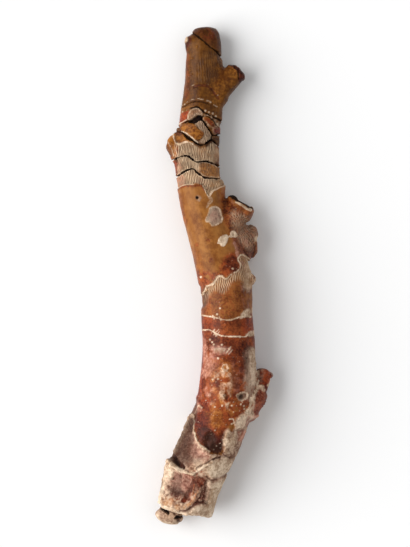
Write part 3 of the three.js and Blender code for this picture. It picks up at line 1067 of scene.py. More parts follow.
class HoneyMarks(Region):
    """The smooth honey-coloured middle of the stem and the rough shoulder stubs."""

    marks = (
        On("middle_stem"),
        Patch(None, 1.0, 0.12, ((-22.0, 12.9), (-12.1, 14.3), (-10.8, 15.0), (-8.7, 15.4), (-6.7, 15.3),
            (-4.4, 15.7), (-3.1, 14.1), (-1.5, 11.5), (-0.4, 13.1), (1.3, 14.1), (3.0, 15.5), (9.5, 16.7),
            (25.3, 11.8), (25.3, -11.3), (12.9, -10.2), (11.5, -9.4), (10.2, -8.6), (8.8, -9.1),
            (8.3, -10.6), (9.2, -12.3), (8.8, -14.0), (6.5, -15.3), (4.5, -17.0), (3.1, -16.0),
            (1.8, -16.2), (0.8, -17.3), (0.1, -19.0), (-1.2, -19.3), (-2.2, -19.7), (-3.4, -22.1),
            (-22.0, -24.6)), press=-0.32, ragged=0.12, lip=0.12, side=Side.ROUND),
        Stroke(RED, 0.65, 0.2, ((-14.3, 13.6), (-12.0, 14.0), (-10.8, 14.6), (-8.7, 15.1), (-6.7, 15.0),
            (-4.4, 15.2), (-2.9, 13.6)), soft=0.3),
        Stroke(CREAM, 0.5, 0.12, ((-12.5, 14.4), (-10.8, 15.2), (-8.7, 15.7), (-6.7, 15.6))),
        Stroke(CREAM, 0.35, 0.25, ((-1.4, 11.1), (-0.4, 10.2), (-1.7, 8.7), (-2.1, 7.6)), soft=0.3),
        Stroke(CREAM, 0.75, 0.12, ((-3.4, 15.0), (-1.5, 11.3), (-0.3, 13.2), (1.5, 14.3), (3.2, 15.7))),
        Dots(SHADE, 1.0, 0.5, ((-5.4, 11.0),), press=0.6),
        Patch(ASH, 0.5, 0.2, ((-6.2, 11.1), (-5.5, 11.8), (-4.3, 11.5), (-3.9, 10.4), (-4.6, 9.4),
            (-5.5, 9.9))),
        Dots(SHADE, 1.0, 0.42, ((-5.4, 11.0),), press=0.1),
        Patch(ASH, 1.0, 0.12, ((-0.9, 7.1), (0.6, 7.7), (2.1, 6.9), (2.5, 5.4), (3.1, 3.8), (2.3, 2.1),
            (0.3, 1.2), (-1.0, 2.4), (-2.2, 2.9), (-2.0, 4.1), (-1.4, 5.1)), press=0.14, rim=0.5),
        Patch(PLUM, 0.3, 0.6, ((-0.6, 5.9), (1.1, 6.2), (2.2, 4.5), (1.8, 3.1), (0.1, 2.4), (-1.3, 3.8))),
        Patch(CREAM, 0.95, 0.12, ((3.0, -2.3), (4.6, -2.0), (5.0, -3.6), (4.6, -5.0), (3.3, -6.0),
            (2.3, -5.1), (1.6, -5.0), (2.0, -3.3)), press=-0.1, ragged=0.25),
        Patch(CREAM, 0.9, 0.12, ((5.8, -1.3), (7.0, -0.4), (8.3, -1.6), (8.0, -2.8), (6.3, -2.6)),
            press=-0.1),
        Dots(WINE, 0.9, 0.38, ((7.0, -2.0),), press=0.15),
        Stroke(CREAM, 0.7, 0.22, ((5.0, -2.9), (5.7, -2.4), (6.2, -2.7))),
        Patch(RED, 0.55, 1.4, ((2.2, 13.9), (5.3, 11.5), (8.1, 8.7), (13.0, 5.5), (17.2, 2.0), (17.9, -2.9),
            (15.8, -7.1), (13.0, -9.9), (9.5, -9.2), (7.8, -6.4), (6.4, -3.6), (4.6, 0.6), (2.5, 6.2))),
        Patch(GOLD, 0.5, 1.2, ((2.9, 12.2), (5.3, 10.8), (8.1, 8.0), (11.6, 4.8), (15.1, 2.0), (17.2, -1.8),
            (15.8, -7.1), (13.0, -9.9), (9.5, -8.5), (8.1, -5.7), (6.7, -3.6), (5.3, 0.6), (3.6, 5.5)),
            mottle=-0.2),
        Patch(WINE, 0.5, 0.8, ((3.2, 11.1), (6.0, 10.1), (8.1, 7.6), (11.6, 4.5), (14.4, 1.3), (15.1, -2.9),
            (13.7, -8.5), (10.9, -8.5), (8.5, -6.4), (6.4, -1.5), (3.9, 4.1)), press=0.08),
        Ribs(0.4, 1.2, 0.12, ((6.0, 5.5), (9.5, 5.9), (13.7, 2.7), (15.1, -1.8), (13.7, -7.1), (10.2, -5.7),
            (7.4, -0.8)), pitch=0.64, slant=0.35, cross=True),
        On("shoulder_upper_stub"),
        Patch(RED, 0.5, 0.6, ((-0.4, 2.5), (3.8, 1.8), (4.5, -0.3), (2.4, -2.0), (-0.4, -0.3))),
        Patch(SHADE, 0.95, 0.15, ((-4.6, 7.4), (-0.4, 6.0), (4.5, 2.9), (4.5, 1.3), (3.3, 1.5), (1.3, 2.7),
            (-1.1, 3.9), (-3.6, 5.0)), press=0.1),
        Stroke(CREAM, 0.95, 0.22, ((-1.1, 3.6), (-0.1, 3.0), (1.2, 2.2), (2.7, 1.2), (3.4, 1.6)),
            press=-0.15),
        On("shoulder_lower_stub"),
        Patch(SHADE, 1.0, 0.15, ((3.2, 5.0), (5.1, 5.0), (5.1, 2.5), (3.5, 3.1)), press=0.3),
        Patch(CREAM, 0.7, 0.3, ((2.8, 3.1), (5.1, 2.9), (4.4, 0.1), (2.5, 0.4))),
        Patch(PLUM, 0.35, 1.0, ((-4.0, 3.6), (0.9, 4.6), (3.4, 0.8), (2.7, -4.1), (0.2, -5.9), (-1.9, -4.8),
            (-4.0, -2.7), (-5.4, -0.6))),
        Patch(BLUSH, 0.35, 1.0, ((-3.3, 5.0), (2.3, 5.7), (3.7, 0.8), (1.6, -4.1), (-2.6, -2.7)),
            mottle=0.1),
        Stroke(BLUSH, 0.7, 0.4, ((-4.7, -0.6), (-4.0, -2.7), (-3.6, -4.8)), soft=0.4),
        Stroke(BLUSH, 0.6, 0.35, ((-0.8, 0.8), (0.2, -2.0), (0.9, -4.1)), soft=0.4),
        Stroke(WINE, 0.7, 0.2, ((-2.6, 0.8), (-1.9, -1.7), (-0.5, -4.8)), press=0.2, soft=0.3),
        Stroke(WINE, 0.8, 0.18, ((1.3, 0.4), (2.5, -1.7), (1.8, -4.1), (0.6, -5.5)), press=0.25, soft=0.2),
        On("middle_stem"),
        Patch(WINE, 0.55, 0.6, ((5.3, -9.9), (7.8, -9.5), (9.2, -11.6), (9.2, -13.4), (7.1, -15.0),
            (5.7, -14.4), (4.8, -12.3))),
        Patch(RED, 0.85, 1.1, ((4.6, -8.8), (8.1, -8.1), (9.5, -11.3), (9.5, -14.1), (6.7, -15.5),
            (3.9, -16.5), (2.5, -13.4))),
        Dots(CREAM, 0.8, 0.4, ((6.8, -13.7),), press=-0.1),
        Patch(RED, 0.75, 1.1, ((-8.7, -13.4), (-3.8, -14.1), (0.4, -14.8), (3.9, -14.8), (1.8, -17.2),
            (-0.6, -19.3), (-2.7, -20.0), (-3.8, -22.8), (-7.3, -23.2)), mottle=-0.45),
        Patch(RED, 0.3, 1.2, ((-7.3, -7.1), (-4.5, -7.8), (-3.4, -13.4), (-5.9, -14.1))),
        Patch(GOLD, 0.7, 0.8, ((-6.6, -16.9), (-3.4, -16.5), (-1.0, -18.3), (-2.7, -20.4), (-4.5, -21.1))),
        Dots(CREAM, 1.0, 0.42, ((-3.9, -16.5),), press=-0.1),
        Dots(RED, 0.5, 0.75, ((-5.4, -5.3), (-0.6, -10.8), (-1.5, -3.9), (-1.3, -14.6)), press=0.06),
        Stroke(RED, 0.35, 0.6, ((-12.2, 13.2), (-11.1, 8.7), (-9.4, 2.7)), soft=1.1, ragged=0.5),
        Patch(GOLD, 0.35, 2.0, ((-5.9, 8.7), (-2.4, 7.6), (-2.4, 1.7), (0.4, -2.2), (1.1, -9.2),
            (3.2, -12.7), (-2.4, -12.0), (-4.5, -3.6), (-6.6, 3.4))),
    )


class LaceMarks(Region):
    """The cream lace border between the honey layer and the red one."""

    marks = (
        On("lower_stem"),
        Patch(WINE, 0.3, 0.4, ((-7.7, 17.9), (-6.6, 19.2), (-5.4, 21.4), (-4.4, 21.7), (-3.1, 22.1),
            (-2.4, 23.7), (-1.4, 24.9), (-0.1, 25.1), (1.3, 24.0), (3.3, 25.7), (5.6, 27.1), (6.0, 28.7),
            (5.1, 30.4), (5.6, 31.9), (7.0, 32.4), (8.3, 31.6), (10.5, 30.8), (14.7, 29.8), (14.7, 23.4),
            (9.8, 22.8), (8.3, 21.4), (7.0, 23.8), (6.0, 25.4), (3.3, 23.6), (1.4, 22.4), (0.0, 19.6),
            (-2.4, 20.1), (-4.4, 18.6), (-6.4, 15.8), (-8.0, 15.1)), press=-0.1, ragged=0.5),
        Patch(CREAM, 0.45, 1.0, ((7.0, 27.6), (10.5, 28.3), (11.9, 23.4), (9.8, 19.9), (7.7, 19.9)),
            mottle=-0.1),
        Ribs(0.9, 0.9, 0.2, ((-6.6, 18.9), (-5.4, 21.0), (-4.4, 21.4), (-3.1, 21.7), (-2.4, 23.4),
            (-1.4, 24.5), (-0.1, 24.7), (1.3, 23.7), (3.3, 25.4), (5.6, 26.7), (6.3, 28.7), (5.6, 30.4),
            (6.0, 31.5), (7.0, 32.1), (8.3, 31.3), (11.9, 30.4), (11.9, 22.8), (9.1, 20.3), (7.4, 23.4),
            (3.9, 23.1), (0.7, 18.9), (-2.8, 19.9), (-6.6, 15.1)), pitch=0.76),
        Stroke(CREAM, 1.0, 0.14, ((-7.3, 18.2), (-6.3, 19.4), (-5.4, 21.1), (-4.4, 21.5), (-3.1, 21.9),
            (-2.3, 23.4), (-1.4, 24.6), (-0.1, 24.8), (1.3, 23.8), (3.3, 25.5), (5.4, 26.7), (6.3, 28.6),
            (5.4, 30.3), (5.9, 31.7), (7.0, 32.2), (8.3, 31.4), (10.2, 30.6)), press=-0.2, soft=0.25,
            ragged=0.3),
        Stroke(BLUSH, 0.5, 0.35, ((6.7, 29.8), (8.1, 27.6), (8.8, 24.5)), soft=0.5),
        Stroke(PLUM, 0.45, 0.35, ((8.8, 29.8), (9.3, 26.9)), press=0.1, soft=0.4),
        Patch(RED, 0.7, 0.3, ((10.3, 25.6), (14.0, 25.6), (14.0, 21.4), (10.5, 22.1)), press=-0.2),
    )


class RedMarks(Region):
    """The red-brown lower stem with its pale threads, specks and golden spots."""

    marks = (
        On("lower_stem"),
        Patch(RED, 0.85, 0.5, ((-11.2, 10.2), (-5.6, 11.2), (-0.7, 10.2), (3.5, 9.8), (6.7, 10.8),
            (14.0, 11.6), (15.4, -4.5), (27.3, -6.6), (27.3, -25.6), (8.8, -25.6), (4.2, -25.6),
            (1.1, -29.1), (0.7, -34.3), (-3.1, -36.4), (-7.3, -33.6), (-8.7, -31.5), (-10.5, -25.6),
            (-10.5, -22.4), (-14.7, -18.6), (-11.9, -4.5)), side=Side.ROUND),
        Patch(RED, 0.6, 1.0, ((-11.2, 17.9), (-5.2, 18.6), (-3.5, 16.4), (-4.2, 11.9), (-11.2, 9.5))),
        Patch(RED, 0.42, 1.6, ((-5.6, 17.9), (2.8, 23.4), (7.7, 22.1), (8.4, 10.8), (-6.3, 10.8))),
        Patch(WINE, 0.16, 1.6, ((-5.6, 16.4), (2.8, 19.9), (6.3, 17.9), (6.3, 10.8), (-5.6, 10.8))),
        Patch(PLUM, 0.75, 0.8, ((6.7, 22.1), (8.4, 20.6), (12.6, 21.7), (12.6, 12.9), (8.8, 13.7),
            (7.0, 16.4)), mottle=-0.1),
        Patch(RED, 0.6, 0.6, ((9.1, 22.1), (12.6, 22.1), (12.6, 16.4), (9.8, 17.1)), mottle=0.1),
        Patch(CREAM, 0.8, 0.35, ((6.1, 10.7), (7.4, 12.8), (8.8, 13.5), (12.6, 14.0), (12.6, 11.2),
            (8.8, 10.8), (7.0, 10.2)), mottle=-0.5),
        Stroke(CREAM, 1.0, 0.13, ((-9.1, 11.4), (-6.8, 11.2), (-4.4, 10.8), (-2.4, 10.5), (0.3, 9.8),
            (3.0, 9.7), (4.9, 10.3), (6.7, 10.8), (9.8, 10.7)), press=-0.08, soft=0.12, ragged=0.14),
        Stroke(CREAM, 0.8, 0.12, ((-3.3, 11.2), (-2.8, 10.2))),
        Stroke(CREAM, 0.8, 0.12, ((-1.0, 10.7), (-0.5, 9.6))),
        Dots(CREAM, 0.95, 0.38, ((-0.7, 13.7), (-1.7, 11.6)), press=-0.1),
        Patch(RED, 0.95, 0.8, ((-10.5, 10.5), (-3.1, 10.2), (-3.5, 6.3), (-10.5, 5.6))),
        Patch(WINE, 0.3, 0.8, ((-10.5, 10.2), (-5.6, 10.2), (-5.6, 5.9), (-10.5, 5.6))),
        Patch(RED, 0.95, 0.8, ((6.3, 9.8), (11.9, 10.5), (11.9, 5.6), (7.4, 4.9))),
        Patch(AMBER, 0.08, 1.4, ((-2.1, 9.5), (6.3, 9.5), (5.6, 4.9), (-1.4, 5.6))),
        Patch(WINE, 0.22, 1.2, ((-9.1, 10.2), (9.8, 10.2), (9.8, 4.9), (-9.1, 5.9)), mottle=-0.1),
        Patch(RED, 1.0, 1.0, ((6.3, 9.5), (12.6, 10.2), (12.6, 4.6), (7.0, 4.6))),
        Stroke(CREAM, 1.0, 0.13, ((-9.1, 5.8), (-6.8, 6.0), (-4.7, 6.2), (-3.1, 5.6), (-1.1, 4.5),
            (0.9, 4.1), (4.3, 4.0), (7.7, 3.8), (9.1, 4.6)), press=-0.08, soft=0.12, ragged=0.14),
        Patch(CREAM, 0.75, 0.3, ((8.2, 4.4), (9.8, 5.6), (13.3, 6.3), (13.3, 4.6), (9.8, 4.0))),
        Stroke(CREAM, 0.75, 0.1, ((-3.0, 4.5), (-1.2, 6.4)), soft=0.1),
        Stroke(CREAM, 0.65, 0.1, ((-3.7, 5.1), (-2.6, 6.3)), soft=0.1),
        Stroke(CREAM, 0.65, 0.1, ((-2.2, 4.0), (-0.9, 5.8)), soft=0.1),
        Stroke(CREAM, 0.5, 0.1, ((-3.5, 5.9), (-1.7, 4.2)), soft=0.1),
        Patch(WINE, 0.55, 1.0, ((-5.2, 4.6), (1.1, 3.5), (4.6, 2.8), (8.8, 3.2), (9.1, -1.8), (8.4, -5.2),
            (4.9, -5.9), (0.0, -1.8), (-4.5, 0.4)), mottle=-0.25),
        Patch(WINE, 0.5, 1.0, ((3.5, 1.1), (8.4, 2.1), (8.4, -4.5), (4.2, -5.2))),
        Dots(CREAM, 0.85, 0.36, ((-3.4, 2.0), (-0.1, 1.1), (-1.4, -3.6), (-3.2, -10.9), (-1.4, -10.7),
            (0.4, -8.1), (-2.8, 1.2), (-4.2, 2.8), (2.5, -0.3)), press=-0.1),
        Patch(BLUSH, 1.0, 0.6, ((-4.5, -0.3), (-2.8, 1.1), (1.4, 0.5), (3.2, -0.3), (2.1, -2.1),
            (-2.1, -2.1)), press=-0.08, mottle=-0.3),
        Patch(CREAM, 0.45, 0.4, ((-3.5, -0.7), (-1.4, 0.0), (1.8, -0.3), (0.7, -1.4), (-2.4, -1.8)),
            mottle=0.1),
        Stroke(CREAM, 0.6, 0.1, ((1.4, -1.8), (3.0, 0.4)), soft=0.1),
        Stroke(CREAM, 0.6, 0.1, ((2.3, -2.1), (3.5, -0.7)), soft=0.1),
        Patch(RED, 1.0, 1.0, ((-11.2, 2.4), (-5.9, 1.8), (-5.6, -8.1), (-6.6, -16.8), (-11.2, -16.8))),
        # Partly painted highlight: these pale pink streaks and the pale lilac patch on the left of the red
        # stem are partly its own pink-tan colour and partly a painted glossy sheen.
        Stroke(BLUSH, 0.6, 0.5, ((-6.6, 2.4), (-5.9, -1.8), (-5.2, -5.2), (-5.9, -9.4)), soft=1.0,
            ragged=0.8),
        Stroke(BLUSH, 0.5, 0.35, ((-4.2, -2.4), (-3.8, -5.9), (-4.5, -9.4)), soft=0.8, ragged=0.8),
        Patch(PLUM, 0.35, 0.8, ((-4.2, -1.8), (-1.7, -2.4), (-1.4, -8.7), (-3.5, -10.1), (-4.5, -5.9))),
        Patch(ASH, 0.95, 1.0, ((7.4, -2.4), (9.1, 0.0), (11.9, -0.3), (14.0, -1.8), (14.0, -10.8),
            (11.9, -14.3), (9.8, -17.8), (8.4, -17.1), (7.4, -11.6), (8.1, -6.6)), mottle=-0.5),
        Stroke(CREAM, 0.6, 0.5, ((10.3, -1.1), (10.7, -6.3), (10.9, -12.2)), soft=1.0, ragged=0.5),
        Patch(PLUM, 0.55, 1.0, ((3.2, -5.2), (7.4, -5.9), (7.7, -12.2), (6.7, -15.7), (3.9, -15.1)),
            mottle=-0.1),
        Patch(AMBER, 0.7, 0.3, ((0.1, -6.6), (0.5, -5.8), (1.6, -5.9), (1.9, -7.0), (1.2, -7.8),
            (0.4, -7.5)), press=0.2, ragged=0.6, rim=0.6),
        Patch(AMBER, 0.7, 1.4, ((-3.5, -5.2), (0.0, -4.5), (4.2, -6.6), (4.6, -12.2), (2.8, -16.4),
            (0.7, -19.6), (-2.1, -17.8), (-3.8, -12.9)), mottle=-0.1),
        Patch(BLUSH, 0.5, 0.9, ((-2.1, -9.4), (0.7, -8.1), (3.2, -10.1), (2.5, -15.1), (-0.7, -16.4),
            (-2.8, -13.6)), mottle=0.15),
        Patch(CREAM, 0.45, 0.6, ((-2.4, -9.4), (1.4, -7.3), (3.5, -11.6), (2.1, -16.4), (-1.0, -17.8),
            (-3.1, -14.3)), press=-0.1, mottle=0.3),
        Patch(BLUSH, 0.4, 1.0, ((-6.6, -13.6), (-2.8, -12.9), (-1.4, -17.1), (-4.2, -19.6), (-7.0, -18.6)),
            mottle=0.1),
        Patch(CREAM, 0.3, 0.6, ((-4.5, -16.1), (-2.8, -15.4), (-2.1, -17.5), (-3.8, -18.2)), mottle=0.1),
        Patch(CREAM, 0.6, 0.4, ((-1.4, -15.1), (1.4, -14.3), (2.8, -15.7), (2.5, -18.6), (1.8, -21.0),
            (0.4, -18.6)), press=-0.15, ragged=0.6, mottle=0.1),
        Patch(SHADE, 0.5, 0.25, ((0.6, -16.1), (1.6, -15.6), (2.1, -16.8), (1.8, -18.2), (1.0, -17.3)),
            press=0.35),
        Patch(ASH, 0.7, 0.25, ((5.4, -15.9), (8.4, -15.5), (8.8, -16.8), (6.7, -18.3), (5.4, -17.3)),
            press=0.4, ragged=0.45, rim=0.7),
        Patch(SHADE, 0.6, 0.2, ((6.1, -16.4), (7.5, -16.3), (7.5, -17.1), (6.5, -17.5)), press=0.2),
        Patch(WINE, 0.45, 0.7, ((2.8, -18.6), (7.7, -17.8), (8.2, -21.0), (6.3, -22.7), (3.5, -21.3)),
            mottle=0.2),
        Patch(AMBER, 0.6, 0.9, ((1.8, -17.1), (6.3, -18.2), (8.4, -19.9), (5.6, -24.1), (1.4, -23.4)),
            mottle=0.1),
        Patch(AMBER, 0.4, 1.0, ((-5.6, -18.6), (-2.1, -17.8), (-0.7, -22.1), (-2.8, -26.9), (-5.6, -24.1)),
            mottle=0.2),
        Dots(CREAM, 0.6, 0.2, ((-3.5, -12.9), (-2.1, -11.7), (-0.3, -11.2), (0.7, -13.3), (-1.0, -13.1),
            (1.4, -9.8), (-2.4, -8.4), (2.8, -8.7), (3.9, -18.6), (4.9, -19.9), (6.0, -21.7), (3.9, -22.1),
            (2.5, -21.3), (7.0, -18.9), (-2.4, -17.8), (-4.5, -16.4), (-5.6, -18.2), (-3.8, -19.4),
            (0.0, -7.0)), press=-0.12),
        Dots(CREAM, 0.85, 0.32, ((7.5, -20.1), (7.7, -21.1), (6.5, -19.4), (0.0, -19.9), (-2.6, -20.3),
            (3.3, -19.9)), press=-0.1),
        Patch(AMBER, 0.7, 1.0, ((-4.0, -22.4), (-1.7, -21.3), (-0.2, -22.7), (-0.7, -26.6), (-2.6, -27.3),
            (-4.0, -25.2)), press=-0.1),
        Patch(CREAM, 0.35, 0.7, ((-3.5, -22.7), (-1.4, -22.1), (-1.0, -24.8), (-2.8, -25.9)), mottle=0.1),
        Patch(AMBER, 0.45, 0.9, ((0.0, -22.1), (4.9, -21.3), (4.9, -25.6), (2.1, -27.3), (-0.3, -25.6)),
            mottle=0.1),
        Stroke(CREAM, 0.95, 0.17, ((2.6, -24.5), (3.7, -24.5), (4.1, -25.7), (3.3, -26.2)), press=-0.12),
        Patch(RED, 1.0, 0.9, ((-8.4, -17.8), (-3.8, -17.5), (-3.5, -22.7), (-4.9, -26.9), (-7.7, -29.1),
            (-10.5, -26.2), (-9.8, -21.3))),
        Patch(WINE, 0.4, 1.0, ((-9.8, -22.7), (-7.0, -21.3), (-4.2, -23.4), (-4.9, -27.6), (-7.7, -29.1),
            (-9.8, -26.9))),
        Patch(BLUSH, 0.65, 0.4, ((-10.5, -18.6), (-7.7, -19.2), (-7.0, -21.7), (-9.1, -22.4),
            (-10.5, -22.7))),
        Stroke(CREAM, 0.55, 0.2, ((-10.1, -22.7), (-9.2, -21.0), (-8.0, -20.1), (-7.0, -20.8)),
            press=-0.15),
        On("root_end"),
        Patch(WINE, 0.9, 1.0, ((-1.8, 11.7), (0.6, 13.8), (3.1, 13.1), (5.5, 11.0), (8.0, 11.4), (8.0, 6.1),
            (5.2, 4.4), (2.4, 5.4), (-0.4, 7.9)), press=0.35),
        Patch(SHADE, 0.35, 1.0, ((1.0, 8.9), (2.4, 11.7), (4.1, 10.3), (5.5, 8.2), (7.6, 8.2), (7.6, 5.1),
            (4.8, 4.4), (2.4, 5.8)), press=0.8, ragged=0.8, mottle=-0.1),
        Patch(WINE, 1.0, 0.8, ((2.4, 9.6), (4.5, 11.0), (7.3, 8.9), (7.6, 4.7), (4.5, 4.7)), ragged=0.6),
        Patch(RED, 0.7, 0.6, ((3.1, 8.2), (7.3, 8.9), (8.0, 5.8), (5.2, 4.4), (3.1, 5.8)), press=-0.3,
            mottle=0.1),
        Dots(CREAM, 0.7, 0.3, ((5.5, 6.8), (6.6, 7.7), (6.9, 6.1), (4.5, 5.6), (7.6, 7.2), (3.4, 11.0),
            (4.8, 12.4)), press=-0.2),
    )


class StubMarks(Region):
    """The red lower right stub."""

    marks = (
        On("lower_stub"),
        Patch(RED, 1.0, 0.4, ((-1.6, 10.4), (10.3, 10.4), (10.3, -1.5), (2.6, -0.1), (-0.9, 3.4)),
            side=Side.ROUND),
        Stroke(CREAM, 0.95, 0.42, ((2.0, 8.6), (3.3, 7.4), (3.6, 5.5), (2.7, 3.7)), press=-0.12, soft=0.25),
        Patch(WINE, 0.6, 0.4, ((-0.9, 8.3), (0.3, 8.3), (0.5, 5.5), (-0.9, 4.1))),
        Patch(WINE, 0.4, 0.7, ((-2.3, 2.7), (-0.6, 4.1), (1.5, 3.0), (1.9, -0.1), (1.9, -5.0), (-0.9, -7.8),
            (-3.7, -7.1), (-3.0, -2.9)), mottle=-0.2),
        Patch(ASH, 0.6, 0.4, ((-1.6, 3.4), (0.5, 3.7), (0.1, 1.6), (-1.6, 1.3))),
    )


